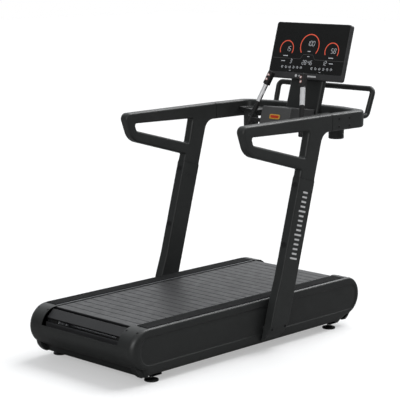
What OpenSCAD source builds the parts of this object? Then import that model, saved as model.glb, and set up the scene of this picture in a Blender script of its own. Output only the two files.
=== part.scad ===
// Slat-belt treadmill with a magnetic brake, two forward-leaning uprights and a tilted console.
// Millimetres. +Z is up, +Y is the way the runner faces, +X is the runner's right-hand side.
// The origin is on the floor, below the middle of the machine's bounding box.

/* [Running belt] */
// Length of one slat, across the machine
slat_l = 584; // [560:2:590]
// Distance from one slat to the next along the belt
slat_pitch = 61.4; // [61.2:0.1:61.6]
// Height of the running surface above the floor
deck_top = 287; // [286:0.5:288]
// Radius of the pulleys that carry the belt
pulley_r = 71; // [70:0.5:71.5]

/* [Base] */
// Width over the two side panels
base_w = 820; // [816:1:824]
// Height of the top edge of the base
base_top = 290; // [289:0.5:291]
// Height of the lower edge of the side panels
skirt_z = 48; // [44:1:52]
// Radius of the round ends of the base
end_r = 108; // [106:0.5:108]
// Diameter of a levelling foot
foot_d = 75; // [60:1:80]

/* [Uprights and handles] */
// Width over the two uprights
frame_w = 940; // [936:1:944]
// Thickness of an upright and of a handle
tube_w = 56; // [52:1:58]
// Forward lean of the uprights
lean = 15.3; // [15:0.1:15.6]
// Height of the top of the front handlebar
bar_top = 1264; // [1262:0.5:1268]

/* [Console] */
// Width of the console
console_w = 560; // [540:2:580]
// Height of the console along its own face
console_h = 336; // [330:2:350]
// Thickness of the console
console_t = 32; // [30:0.5:34]
// Lean of the console's face from upright
console_tilt = 15.8; // [15.4:0.1:16.2]
// Outside diameter of a cup holder
cup_d = 88; // [84:1:90]

/* [Hidden] */
$fn = 48;

// Everything below is laid out around the middle of the running belt; this moves it to the row origin.
belt_mid_y = -97.3;

// Running gear
slat_n = 58;
slat_w = 57.6;
slat_h = 18;
tread_t = 5;
belt_t = 7.6;
belt_gap = 0.4;
belt_in_r = pulley_r + belt_gap;
slat_in_r = belt_in_r + belt_t;
slat_out_r = slat_in_r + slat_h;
pitch_r = belt_in_r + belt_t / 2 - 0.2;
axle_gap = (slat_n * slat_pitch - 2 * PI * pitch_r) / 2;
axle_y = axle_gap / 2;
axle_z = deck_top - slat_out_r;
axle_r = 12.5;
run_clear = 0.05;
loop_x = [230, 270];

// Base
base_x = base_w / 2;
rear_c = -794;
front_c = 807;
end_z = base_top - end_r;
strip_y = 779;
strip_x = [315, 394];
beam_x = [345, 395];
beam_z = [112, 238];
beam_y = 815;
cross_z = [34, 74];
panel_t = 10;
foot_x = 355;
foot_y = [-720, 708];
stem_r = 6;
wall = 3;

// Flywheel and brake, hung inside the belt loop
fly_y = 480;
fly_r = 56;
fly_x = [95, 145];
fly_shaft_r = 8.5;
fly_pulley_r = 18;
drive_pulley_r = 45;
drive_x = [156, 174];
drive_belt_t = 3;
plate_x = [70, 190];
plate_t = 8;
brake_r = 67;
brake_a = 125;
pin_r = 4;
pin_y = fly_y + brake_r * cos(brake_a);
pin_z = axle_z + brake_r * sin(brake_a);
cam_r = 11.5;
cam_off = 5;
cam_y = 396.2;
cam_z = 158;
bracket_beam_y = 352;

// Uprights and handles: the front and rear edge lines lean forward by the same angle
tube_in = frame_w / 2 - tube_w;
edge_gap = 134;
front_y0 = 177;
seam_z = 941;
seam = [edge_rear(seam_z), seam_z];
seam_d = edge_gap * cos(lean);
bar_z = bar_top - 97;
bar_y = 571;
bolt_at = [[86, 132], [193, 133]];
bar_screws = [for (y = [631, 723], z = [bar_top - 31, bar_top - 73]) [y, z]];
bearing_bolts = [for (y = [-axle_y, axle_y], dy = [-30, 30], dz = [-30, 30]) [y + dy, axle_z + dz]];
cap_screw_x = [306, 382];
cap_screw_a = 27;

// Console, column and control box
col_half = 126;
col_t = 36;
col_r = 16;
col_lean = 16.5;
col_foot = [838.8, 1167];
con_foot = [877, 1410];
strip_h = 35;
box_half = 110;
face_lean = 18.3;
stop_z = 1208;
stop_y = 606 + (stop_z - 1152) * tan(face_lean);

// Grips: each leans forward and inward from its lower end
grip_foot = [214, 604, 1114];
grip_turn = [-20.43, -15.54, 0];
grip_l = 378;
grip_r = 12.5;
sleeve_r = 15;
clamp_r = 20;
plate_turn = 38;
button_r = 9;
button_s = [325, 352];
cup_at = [327, 783];
cup_floor = 1097;
tray_z = [1203, 1227];

// Height z on the front or rear edge line of an upright gives the edge's y
function edge_front(z) = front_y0 + z * tan(lean);
function edge_rear(z) = edge_front(z) - edge_gap;
function arc(c, r, a0, a1, n = 14) =
    [for (i = [0:n]) c + r * [cos(a0 + (a1 - a0) * i / n), sin(a0 + (a1 - a0) * i / n)]];
function unit(v) = v / norm(v);
function turn(d) = d > 180 ? d - 360 : d < -180 ? d + 360 : d;
function corner_arc(c, r, s, e, n) = arc(c, r, atan2(s[1], s[0]),
    atan2(s[1], s[0]) + turn(atan2(e[1], e[0]) - atan2(s[1], s[0])), n);
// One corner p between a and b, rounded to radius r
function corner(a, p, b, r, n) =
    let (u = unit(a - p), v = unit(b - p), half = acos(u * v) / 2,
        c = p + unit(u + v) * r / sin(half))
    corner_arc(c, r, p + u * r / tan(half) - c, p + v * r / tan(half) - c, n);
function flat(p) = [p[0], p[1]];
// An outline from corners [x, y, radius], where radius 0 keeps the corner sharp
function rounded(p, n = 6) = let (m = len(p)) [for (i = [0:m - 1])
    each p[i][2] == 0 ? [flat(p[i])]
        : corner(flat(p[(i + m - 1) % m]), flat(p[i]), flat(p[(i + 1) % m]), p[i][2], n)];
function round_box(w, h, r) = rounded([[-w / 2, -h / 2, r], [w / 2, -h / 2, r],
    [w / 2, h / 2, r], [-w / 2, h / 2, r]]);

module placed() translate([0, belt_mid_y, 0]) children();
// Turns a (y, z) outline into a solid from x0 to x1
module along_x(x0, x1) translate([x0, 0, 0]) rotate([90, 0, 90]) linear_extrude(x1 - x0) children();
module both_sides() { children(); mirror([1, 0, 0]) children(); }
module on_side(s) if (s > 0) children(); else mirror([1, 0, 0]) children();
module rod(r, x0, x1, y, z) translate([x0, y, z]) rotate([0, 90, 0]) cylinder(r = r, h = x1 - x0);
module box(lo, hi) translate(lo) cube(hi - lo);

// ---- Frame and covers of the base ----

module side_beams() color("dimgray") placed() both_sides() difference() {
    box([beam_x[0], -beam_y, beam_z[0]], [beam_x[1], beam_y, beam_z[1]]);
    box([beam_x[0] + wall, -beam_y - 1, beam_z[0] + wall],
        [beam_x[1] - wall, beam_y + 1, beam_z[1] - wall]);
    for (b = bolt_at) rod(6.5, beam_x[1] - 2 * wall, beam_x[1] + 1, b[0], b[1]);
    for (b = bearing_bolts) rod(5, beam_x[0] - 1, beam_x[0] + wall + 1, b[0], b[1]);
}

module crossmembers() color("dimgray") placed() {
    for (y = foot_y) difference() {
        union() {
            box([-beam_x[1], y - 35, cross_z[0]], [beam_x[1], y + 35, cross_z[1]]);
            both_sides() box([beam_x[0], y - 35, cross_z[1]], [beam_x[1], y + 35, beam_z[0]]);
        }
        box([-beam_x[1] - 1, y - 35 + wall, cross_z[0] + wall],
            [beam_x[1] + 1, y + 35 - wall, cross_z[1] - wall]);
        both_sides() translate([foot_x, y, cross_z[0] - 1])
            cylinder(r = stem_r + run_clear, h = cross_z[1] - cross_z[0] - 1);
    }
    for (y = [-520, -170, 180, bracket_beam_y]) difference() {
        box([-beam_x[0], y - 20, 165], [beam_x[0], y + 20, 215]);
        box([-beam_x[0] - 1, y - 20 + wall, 165 + wall], [beam_x[0] + 1, y + 20 - wall, 215 - wall]);
    }
}

function base_outline() = concat(
    arc([front_c, end_z], end_r, 90, -90), [[front_c - 59, skirt_z], [front_c - 66, skirt_z - 7],
        [front_c - 92, skirt_z - 7], [front_c - 106, skirt_z], [rear_c + 4, skirt_z]],
    arc([rear_c, end_z], end_r, 255, 90));

module side_panel(s) color([0.2, 0.21, 0.21]) placed() on_side(s) difference() {
    union() {
        along_x(base_x - panel_t, base_x) polygon(base_outline());
        for (y = [-600, -200, 400, 700]) rod(8, beam_x[1], base_x - panel_t / 2, y, 180);
    }
    along_x(base_x - 2, base_x + 1) polygon(rounded([[rear_c - end_r + 20, base_top - 190, 70],
        [front_c + end_r - 18, base_top - 190, 70], [front_c + end_r - 18, base_top - 40, 60],
        [rear_c - end_r + 20, base_top - 40, 60]]));
    for (b = bolt_at) rod(15, base_x - 20, base_x + 1, b[0], b[1]);
}

// D-shaped end cover between the side panels, open in the middle where the belt turns over.
// chin is the lower edge of its sloping underside; two lobes hang from it ahead of the feet.
cap_half = base_x - panel_t - 0.5;
function rear_shell(chin) = concat([[13, end_r]], arc([0, 0], end_r, 90, 255), [chin],
    [chin + [6, 0]], arc([0, 0], end_r - 4, 255, 90), [[13, end_r - 4]]);
lobe = [[-68, -82], [-60, -108], [-42, -130], [-22, -145], [10, -145], [16, -131], [0, -131], [-27, -101.5]];
module end_cap(c, dir, chin) difference() {
    union() {
        along_x(-cap_half, cap_half) polygon([for (p = rear_shell(chin)) [c + dir * p[0], end_z + p[1]]]);
        both_sides() along_x(350, 386) polygon([for (p = lobe) [c + dir * p[0], end_z + p[1]]]);
    }
    translate([-295, min(c + dir * 20, c - dir * 130), base_top - 85]) cube([590, 150, 100]);
    on_cap(c, dir) translate([0, 0, end_r - 10]) cylinder(r = 3.1, h = 12);
}
// Puts a child at each screw of an end cap, pointing out of the cap's round shoulder
module on_cap(c, dir) for (x = [-cap_screw_x[1], -cap_screw_x[0], cap_screw_x[0], cap_screw_x[1]])
    translate([x, c, end_z]) rotate([dir * cap_screw_a, 0, 0]) children();
module rear_cap() color([0.2, 0.21, 0.21]) placed() end_cap(rear_c, 1, [-6, -146]);
module front_cap() color([0.2, 0.21, 0.21]) placed() end_cap(front_c, -1, [4, skirt_z - end_z]);

module belt_guards() color([0.1, 0.1, 0.1]) placed() for (d = [-1, 1]) along_x(-288, 288)
    polygon([for (p = concat(arc([0, 0], 106.5, 5, -60), arc([0, 0], 103.5, -60, 5)))
        [d * (axle_y + p[0]), axle_z + p[1]]]);

module foot_rails() color([0.6, 0.6, 0.62]) placed() both_sides() along_x_rail();
module along_x_rail() translate([0, strip_y, 0]) rotate([90, 0, 0]) linear_extrude(2 * strip_y)
    difference() {
        polygon([[303, base_top - 26], [308, base_top - 26], [308, base_top - 6], [350, base_top - 6],
            [350, beam_z[1]], [390, beam_z[1]], [390, base_top - 6], [cap_half, base_top - 6],
            [cap_half, base_top], [303, base_top]]);
        polygon([[354, beam_z[1] + 4], [386, beam_z[1] + 4], [386, base_top - 6], [354, base_top - 6]]);
    }

module grip_strips() color([0.12, 0.12, 0.12]) placed() both_sides()
    box([strip_x[0], -strip_y, base_top], [strip_x[1], strip_y, base_top + 4]);

// Levelling foot: rubber-soled pad, jam nut and threaded stem
module levelling_foot(sx, y) color([0.08, 0.08, 0.08]) placed() translate([sx * foot_x, y, 0]) {
    cylinder(r = foot_d / 2, h = 9);
    translate([0, 0, 9]) cylinder(r1 = foot_d / 2 - 4, r2 = 13, h = 8);
    translate([0, 0, 17]) cylinder(r = stem_r, h = 47);
    translate([0, 0, 18]) cylinder(r = 10.5, h = 8, $fn = 6);
}
module foot_front_left() levelling_foot(-1, foot_y[1]);
module foot_front_right() levelling_foot(1, foot_y[1]);
module foot_rear_left() levelling_foot(-1, foot_y[0]);
module foot_rear_right() levelling_foot(1, foot_y[0]);

// ---- Belt and its carriers ----

module axle_bearings() color("slategray") placed() both_sides() for (y = [-axle_y, axle_y]) difference() {
    union() {
        rod(30, 312, 336, y, axle_z);
        along_x(335, beam_x[0]) translate([y, axle_z]) polygon(round_box(80, 80, 12));
    }
    rod(axle_r + run_clear, 300, beam_x[0] + 1, y, axle_z);
    for (b = bearing_bolts) rod(5, 330, beam_x[0] + 1, b[0], b[1]);
}

module axle(y) color("silver") placed() rod(axle_r, -343, 343, y, axle_z);
module front_axle() axle(axle_y);
module rear_axle() axle(-axle_y);

// Pair of dished pulleys: rim, web and hub
module belt_pulleys(y) color("gray") placed() both_sides() difference() {
    rod(pulley_r, loop_x[0] - 5, loop_x[1] + 5, y, axle_z);
    for (x = [loop_x[0] - 6, 254]) difference() {
        rod(pulley_r - 8, x, x + 22, y, axle_z);
        rod(22, x - 1, x + 23, y, axle_z);
    }
    rod(axle_r, loop_x[0] - 10, loop_x[1] + 10, y, axle_z);
}
module front_pulleys() belt_pulleys(axle_y);
module rear_pulleys() belt_pulleys(-axle_y);

module stadium(r) {
    for (y = [-axle_y, axle_y]) translate([y, axle_z]) circle(r);
    translate([-axle_y, axle_z - r]) square([axle_gap, 2 * r]);
}
module belt_loops() color([0.15, 0.15, 0.15]) placed() both_sides() along_x(loop_x[0], loop_x[1])
    difference() { stadium(slat_in_r); stadium(belt_in_r); }

// Puts a child, drawn with its outer face towards +Z, at distance s along the belt from the front axle
module on_belt(s) {
    arc_l = PI * pitch_r;
    on_top = s < axle_gap;
    on_rear = s < axle_gap + arc_l;
    on_low = s < 2 * axle_gap + arc_l;
    y = on_top ? axle_y - s : on_rear ? -axle_y : on_low ? s - axle_gap - arc_l - axle_y : axle_y;
    a = on_top ? 0 : on_rear ? (s - axle_gap) / pitch_r * 180 / PI
        : on_low ? 180 : 180 + (s - 2 * axle_gap - arc_l) / pitch_r * 180 / PI;
    translate([0, y, axle_z]) rotate([a, 0, 0]) children();
}
module every_slat() placed() for (i = [0:slat_n - 1]) on_belt((i + 0.08) * slat_pitch) children();

module slat_bars() color([0.55, 0.56, 0.58]) every_slat() along_x(-slat_l / 2, slat_l / 2)
    polygon(slat_section(slat_out_r - tread_t));
function slat_section(top) = [[-slat_w / 2, top - 6], [-slat_w / 2, top], [slat_w / 2, top],
    [slat_w / 2, top - 6], [18, top - 6], [18, slat_in_r], [12, slat_in_r], [12, top - 6],
    [-12, top - 6], [-12, slat_in_r], [-18, slat_in_r], [-18, top - 6]];

module slat_treads() color([0.36, 0.36, 0.37]) every_slat() along_x(-slat_l / 2, slat_l / 2)
    polygon([[-slat_w / 2, slat_out_r - tread_t], [-slat_w / 2, slat_out_r - 2],
        [-slat_w / 2 + 2, slat_out_r], [slat_w / 2 - 2, slat_out_r],
        [slat_w / 2, slat_out_r - 2], [slat_w / 2, slat_out_r - tread_t]]);

// Rows of ball-bearing rollers that hold up the top run of the belt
roller_r = 15;
roller_z = axle_z + belt_in_r - roller_r - 0.3;
module each_roller() placed() both_sides() for (y = [-605:110:605]) translate([0, y, 0]) children();
module support_rollers() color("silver") each_roller() difference() {
    rod(roller_r, 236, 266, 0, roller_z);
    rod(pin_r, 235, 267, 0, roller_z);
}
module roller_axles() color("darkgray") each_roller() {
    rod(pin_r, 232, 281, 0, roller_z);
    rod(7, 278, 283, 0, roller_z);
}
module roller_rails() color("gray") placed() both_sides() difference() {
    box([273, -640, 215], [278, 640, axle_z + belt_in_r - 4]);
    for (y = [-605:110:605]) rod(pin_r, 272, 279, y, roller_z);
}

// ---- Flywheel and magnetic brake ----

module drive_pulley() color("gray") placed() difference() {
    rod(drive_pulley_r, drive_x[0], drive_x[1], axle_y, axle_z);
    rod(axle_r, drive_x[0] - 1, drive_x[1] + 1, axle_y, axle_z);
}
module drive_loop(extra) hull() {
    translate([axle_y, axle_z]) circle(drive_pulley_r + 0.3 + extra, $fn = 96);
    translate([fly_y, axle_z]) circle(fly_pulley_r + 0.3 + extra, $fn = 96);
}
module drive_belt() color([0.1, 0.1, 0.1]) placed() along_x(drive_x[0] + 1, drive_x[1] - 1)
    difference() { drive_loop(drive_belt_t); drive_loop(0); }

module flywheel() color([0.45, 0.45, 0.47]) placed() difference() {
    rod(fly_r, fly_x[0], fly_x[1], fly_y, axle_z);
    for (x = [fly_x[0] - 1, fly_x[1] - 15]) difference() {
        rod(fly_r - 14, x, x + 16, fly_y, axle_z);
        rod(18, x - 1, x + 17, fly_y, axle_z);
    }
    rod(fly_shaft_r, fly_x[0] - 1, fly_x[1] + 1, fly_y, axle_z);
}
module flywheel_shaft() color("silver") placed() {
    rod(fly_shaft_r, plate_x[0] - 4, plate_x[1] + plate_t + 4, fly_y, axle_z);
    rod(fly_pulley_r, drive_x[0], drive_x[1], fly_y, axle_z);
}
module flywheel_bracket() color("dimgray") placed() for (x = plate_x) difference() {
    along_x(x, x + plate_t) polygon(rounded([[bracket_beam_y + 20, 150, 4], [480, 145, 30],
        [522, 165, 20], [522, 212, 20], [458, 257, 8], [425, 257, 8], [bracket_beam_y + 20, 230, 4]]));
    rod(fly_shaft_r + run_clear, x - 1, x + plate_t + 1, fly_y, axle_z);
    rod(pin_r, x - 1, x + plate_t + 1, pin_y, pin_z);
}

// Curved steel arm that swings the magnets towards the rim of the flywheel
module brake_carrier() color("steelblue") placed() difference() {
    along_x(fly_x[0] + 2, fly_x[1] - 2) {
        polygon(concat(arc([fly_y, axle_z], 72, brake_a, 232), arc([fly_y, axle_z], 62, 232, brake_a)));
        translate([pin_y, pin_z]) circle(8);
    }
    rod(pin_r + run_clear, fly_x[0], fly_x[1], pin_y, pin_z);
}
module brake_magnets() color("silver") placed() for (a = [150, 176, 202]) along_x(fly_x[0] + 6, fly_x[1] - 6)
    polygon(concat(arc([fly_y, axle_z], 61.8, a, a + 18, 6), arc([fly_y, axle_z], 58.5, a + 18, a, 6)));
module brake_pin() color("silver") placed()
    rod(pin_r, plate_x[0] - 2, plate_x[1] + plate_t + 2, pin_y, pin_z);

// Eccentric cam on the gear motor's shaft: half a turn lets the magnet arm swing fully away
module brake_cam() color("gold") placed() {
    rod(cam_r, 112, 128, cam_y + cam_off, cam_z);
    rod(3, 128, 150, cam_y, cam_z);
}
module brake_motor() color([0.2, 0.2, 0.22]) placed() difference() {
    box([148, 378, cam_z - 20], [plate_x[1], 415, cam_z + 20]);
    rod(3 + run_clear, 147, 160, cam_y, cam_z);
}

module controller_box() color([0.15, 0.3, 0.2]) placed() {
    box([-200, 160, 215], [-90, 200, 245]);
    box([-30, axle_y - 12, axle_z + 30], [-6, axle_y + 12, axle_z + 46]);
    box([-24, 200, 219], [-12, axle_y - 11, 224]);
    box([-90, 190, 219], [-12, 200, 224]);
}

// Cable from the brake controller's side of the base up inside the right upright to the console
module between(a, b) {
    d = b - a;
    translate(a) rotate([0, atan2(norm([d[0], d[1]]), d[2]), atan2(d[1], d[0])]) children();
}
module cable_harness() color([0.05, 0.05, 0.05]) placed() {
    x = frame_w / 2 - tube_w / 2;
    path = [[x, 130, 200], [x, edge_front(1180) - 50, 1195], [x, 790, 1205], [x - 50, 866, 1205],
        [228, 914, 1205], [0, 913, 1205], [0, 893, 1275], [0, 940, 1450]];
    for (i = [0:len(path) - 2]) between(path[i], path[i + 1])
        translate([0, 0, -1]) cylinder(r = 4, h = norm(path[i + 1] - path[i]) + 3, $fn = 8);
}

// ---- Uprights, handles and front bar ----

foot_flare = 20;
function upright_outline(in, over) = rounded([
    [edge_rear(430) + in, 430, 300], [seam[0] + in + over * sin(lean), seam[1] + over, 0],
    [seam[0] - in + seam_d * cos(lean) + over * sin(lean), seam[1] - seam_d * sin(lean) + over, 0],
    [edge_front(skirt_z) - in, skirt_z, 0], [edge_rear(skirt_z) - foot_flare + in, skirt_z, 0],
    [edge_rear(260) - foot_flare + in, 260, 300]]);
// Seen along Y, the foot of an upright curves in under the base
boot_outline = rounded([[tube_in, 58, 0], [tube_in + 26, 84, 30], [frame_w / 2, 140, 70],
    [frame_w / 2, 1000, 0], [tube_in, 1000, 0]]);
module upright_solid(in, over) intersection() {
    along_x(tube_in, frame_w / 2) polygon(upright_outline(in, over));
    translate([0, 500, 0]) rotate([90, 0, 0]) linear_extrude(700)
        offset(delta = -in) polygon(boot_outline);
}

module upright(s) color([0.24, 0.25, 0.25]) placed() on_side(s) {
    difference() {
        upright_solid(0, 0);
        upright_solid(wall, 10);
        for (b = bolt_at) rod(6.2, tube_in - 1, frame_w / 2 + 1, b[0], b[1]);
    }
    for (b = bolt_at) difference() {
        rod(14, beam_x[1], tube_in + wall, b[0], b[1]);
        rod(6.2, beam_x[1] - 1, tube_in + wall + 1, b[0], b[1]);
    }
}
module upright_left() upright(-1);
module upright_right() upright(1);

low_bar = [1066.5, -0.2736];
function low_bar_z(y) = low_bar[0] + low_bar[1] * y;
function handle_outline() = rounded([
    [seam[0] + seam_d * cos(lean) + 0.1, seam[1] - seam_d * sin(lean) + 0.4, 0],
    [edge_front(bar_z), bar_z, 70], [bar_y, bar_z, 0], [bar_y, bar_top, 0], [-169, bar_top - 8, 26],
    [-112, low_bar_z(-112), 85], [311.5, low_bar_z(311.5), 8], [seam[0] + 0.1, seam[1] + 0.4, 0]]);
function window_outline() = rounded([[-91, 1194, 12], [376, 1186, 12], [343, 1043, 12], [-75, 1152, 16]]);

module handle(s) color([0.24, 0.25, 0.25]) placed() on_side(s) difference() {
    along_x(tube_in, frame_w / 2) difference() {
        polygon(handle_outline());
        polygon(window_outline());
    }
    along_x(tube_in + 4, frame_w / 2 - 4) {
        offset(delta = -4) difference() {
            polygon(handle_outline());
            polygon(window_outline());
        }
        translate([bar_y - 10, bar_z + 4]) square([20, bar_top - bar_z - 8]);
        polygon([for (p = [[wall + 2, -12], [seam_d - wall - 2, -12], [seam_d - wall - 2, 12],
            [wall + 2, 12]]) seam + p[0] * [cos(lean), -sin(lean)] + p[1] * [sin(lean), cos(lean)]]);
    }
}
module handle_left() handle(-1);
module handle_right() handle(1);

module bar_outline() polygon(rounded([[frame_w / 2, bar_y + 0.4, 0], [frame_w / 2, 879.5, 75],
    [236, 948, 300], [-236, 948, 300], [-frame_w / 2, 879.5, 75], [-frame_w / 2, bar_y + 0.4, 0],
    [-tube_in, bar_y + 0.4, 0], [-tube_in, 838, 50], [-220, 884, 250], [220, 884, 250],
    [tube_in, 838, 50], [tube_in, bar_y + 0.4, 0]], 10));
module front_bar() color([0.24, 0.25, 0.25]) placed() {
    difference() {
        translate([0, 0, bar_z]) linear_extrude(bar_top - bar_z) bar_outline();
        translate([0, 0, bar_z + 4]) linear_extrude(bar_top - bar_z - 8) {
            offset(delta = -4) bar_outline();
            both_sides() translate([tube_in + 4, bar_y - 8]) square([tube_w - 8, 20]);
        }
        translate([0, 896.5, bar_top - 10]) cylinder(r = 7.5, h = 20);
        both_sides() for (b = bar_screws) rod(3.1, frame_w / 2 - 6, frame_w / 2 + 1, b[0], b[1]);
    }
}

// Every bolt and screw that holds the frame: shank and head
module fastener(r, head_r, head_h, x0, x1, p) {
    rod(r, x0, x1 + 0.5, p[0], p[1]);
    rod(head_r, x1, x1 + head_h, p[0], p[1]);
}
module frame_bolts() color([0.15, 0.15, 0.15]) placed() {
    both_sides() {
        for (b = bolt_at) fastener(6, 9, 4.5, beam_x[1] - 14, frame_w / 2, b);
        for (b = bar_screws) fastener(3, 5, 2.5, frame_w / 2 - 12, frame_w / 2, b);
        for (b = bearing_bolts) {
            rod(4.5, 331, beam_x[0] + 12, b[0], b[1]);
            rod(8, 330, 335, b[0], b[1]);
        }
    }
    for (e = [[rear_c, 1], [front_c, -1]]) on_cap(e[0], e[1]) {
        translate([0, 0, end_r - 14]) cylinder(r = 3, h = 14.5);
        translate([0, 0, end_r + 0.3]) cylinder(r = 6, h = 2.2);
    }
}

// Tubular bar ahead of the handlebar
bar_r = 16;
bar_low = [352, 1031, 1210];
bar_high = [361, 1080, 1361];
module accessory_bar() color([0.13, 0.13, 0.13]) placed() difference() {
    union() {
        both_sides() {
            between(bar_low - [0, 131, 0], bar_low) cylinder(r = bar_r, h = 131);
            translate(bar_low) sphere(bar_r + 0.6);
            between(bar_low, bar_high) cylinder(r = bar_r, h = norm(bar_high - bar_low));
            translate(bar_high) sphere(bar_r + 0.6);
        }
        rod(bar_r, -bar_high[0], bar_high[0], bar_high[1], bar_high[2]);
    }
    translate([0, 0, bar_z]) linear_extrude(bar_top - bar_z) offset(delta = 0.1) bar_outline();
}

// ---- Console ----

module in_column() translate([0, col_foot[0], col_foot[1]]) rotate([-col_lean, 0, 0]) children();
module in_console() translate([0, con_foot[0], con_foot[1]]) rotate([-console_tilt, 0, 0]) children();
module console_slab(w, z0, z1, y0, y1, r) translate([0, y1, (z0 + z1) / 2]) rotate([90, 0, 0])
    linear_extrude(y1 - y0) polygon(round_box(w, z1 - z0, r));

module console_column() color([0.24, 0.25, 0.25]) placed() difference() {
    in_column() translate([0, col_t / 2, 14]) linear_extrude(336)
        difference() {
            polygon(round_box(2 * col_half, col_t, col_r));
            polygon(round_box(2 * col_half - 8, col_t - 8, col_r - 4));
        }
    box([-200, 883.5, 1100], [200, 1100, bar_top + 0.4]);
}
module console_frame() color([0.27, 0.27, 0.28]) placed() in_console() difference() {
    console_slab(console_w, 0, console_h, 0, console_t - 4, 16);
    console_slab(console_w - 10, strip_h, console_h - 5, -1, 4.2, 12);
    console_slab(console_w - 24, 12, console_h - 12, 8, console_t, 10);
    console_slab(console_w - 60, strip_h + 20, console_h - 30, -1, 12, 8);
}
module console_glass() color([0.1, 0.1, 0.1]) placed() in_console()
    console_slab(console_w - 11, strip_h + 0.5, console_h - 5.5, 0, 4, 11.5);
module console_back() color([0.2, 0.2, 0.21]) placed() in_console()
    console_slab(console_w, 0, console_h, console_t - 3.9, console_t, 16);
module console_board() color([0.1, 0.35, 0.2]) placed() in_console()
    console_slab(380, 60, 270, 14, 20, 4);

// ---- Control box, stop key, grips and trays ----

function control_outline(in) = rounded([[606 + in, 1152 + in, 6], [643.4 + in, bar_top - in, 8],
    [856 - in, 1240 - in, 3], [836 - in, 1176 + in, 3], [700, 1152 + in, 20]]);
module in_stop() translate([0, stop_y, stop_z]) rotate([-face_lean, 0, 0]) children();
module stop_slab(w, h, r, y0, y1) translate([0, y1, 0]) rotate([90, 0, 0])
    linear_extrude(y1 - y0) polygon(round_box(w, h, r));

module control_box() color([0.3, 0.31, 0.31]) placed() difference() {
    along_x(-box_half, box_half) polygon(control_outline(0));
    along_x(-box_half + wall, box_half - wall) polygon(control_outline(wall));
    box([-80, 660, 1100], [80, 800, 1180]);
    box(crossbar_lo - [0, 0.1, 0.1], crossbar_hi + [0, 0.1, 0.1]);
    in_stop() stop_slab(63, 17, 6, -2, 8);
}
module stop_bezel() color([0.95, 0.8, 0.3]) placed() in_stop() difference() {
    stop_slab(76, 28, 9, -4, 0);
    stop_slab(62, 16, 6, -5, 1);
}
module stop_button() color([0.9, 0.3, 0.15]) placed() in_stop() {
    stop_slab(60.5, 14.5, 6, -5.5, 6);
    stop_slab(68, 22, 6, 5, 8);
}

// Bar through the control box, with a grip on each end
crossbar_lo = [-188, 618, 1168];
crossbar_hi = [188, 641, 1190];
module grip_crossbar() color([0.16, 0.16, 0.16]) placed() box(crossbar_lo, crossbar_hi);

module in_grip(s) placed() on_side(s) translate(grip_foot) rotate(grip_turn) children();
module grip(s) color([0.16, 0.16, 0.16]) difference() {
    in_grip(s) difference() {
        union() {
            cylinder(r = sleeve_r, h = 184);
            cylinder(r = grip_r, h = 300);
            translate([0, 0, 54]) cylinder(r = clamp_r, h = 36);
            translate([0, -1, 296]) linear_extrude(grip_l - 296) polygon(round_box(34, 40, 10));
        }
        for (b = button_s) translate([0, -14, b]) rotate([90, 0, 0])
            cylinder(r = button_r + run_clear, h = 12);
    }
    placed() box(crossbar_lo - [0.1, 0.1, 0.1], crossbar_hi + [0.1, 0.1, 0.1]);
}
module grip_left() grip(-1);
module grip_right() grip(1);
module sensor_plates() color([0.88, 0.88, 0.89]) for (s = [-1, 1]) in_grip(s) difference() {
    translate([0, 0, 186]) cylinder(r = sleeve_r, h = 108);
    translate([0, 0, 185]) cylinder(r = grip_r + 0.05, h = 110);
    rotate([0, 0, plate_turn]) translate([-30, 3, 180]) cube([60, 40, 120]);
}
module grip_button(s, at) color([0.85, 0.75, 0.74]) in_grip(s) translate([0, -17, at])
    rotate([90, 0, 0]) cylinder(r = button_r, h = 7.5);
module grip_left_upper_button() grip_button(-1, button_s[1]);
module grip_left_lower_button() grip_button(-1, button_s[0]);
module grip_right_upper_button() grip_button(1, button_s[1]);
module grip_right_lower_button() grip_button(1, button_s[0]);

module trays() color([0.27, 0.28, 0.28]) placed() both_sides() difference() {
    union() {
        translate([0, 0, tray_z[0]]) linear_extrude(tray_z[1] - tray_z[0])
            polygon(rounded([[tube_in, 771, 3], [tube_in, 796, 3], [384, 842, 20], [178, 880, 5],
                [205, 682, 14]]));
        translate([cup_at[0], cup_at[1], cup_floor]) cylinder(r = cup_d / 2, h = tray_z[1] - cup_floor);
    }
    translate([cup_at[0], cup_at[1], cup_floor + 4]) cylinder(r = cup_d / 2 - 3.5, h = 200);
}

side_beams();
crossmembers();
side_panel(-1);  // side_panel_left
side_panel(1);  // side_panel_right
rear_cap();
front_cap();
belt_guards();
foot_rails();
grip_strips();
foot_front_left();
foot_front_right();
foot_rear_left();
foot_rear_right();
axle_bearings();
front_axle();
front_pulleys();
rear_axle();
rear_pulleys();
belt_loops();
slat_bars();
slat_treads();
support_rollers();
roller_axles();
roller_rails();
drive_pulley();
drive_belt();
flywheel();
flywheel_shaft();
flywheel_bracket();
brake_carrier();
brake_magnets();
brake_pin();
brake_cam();
brake_motor();
controller_box();
cable_harness();
upright_left();
upright_right();
handle_left();
handle_right();
front_bar();
console_column();
frame_bolts();
console_frame();
console_back();
console_glass();
console_board();
control_box();
stop_bezel();
stop_button();
grip_crossbar();
grip_left();
grip_right();
sensor_plates();
grip_left_upper_button();
grip_left_lower_button();
grip_right_upper_button();
grip_right_lower_button();
trays();
accessory_bar();
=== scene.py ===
import math

import bmesh
import bpy
from mathutils import Matrix, Vector


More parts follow.
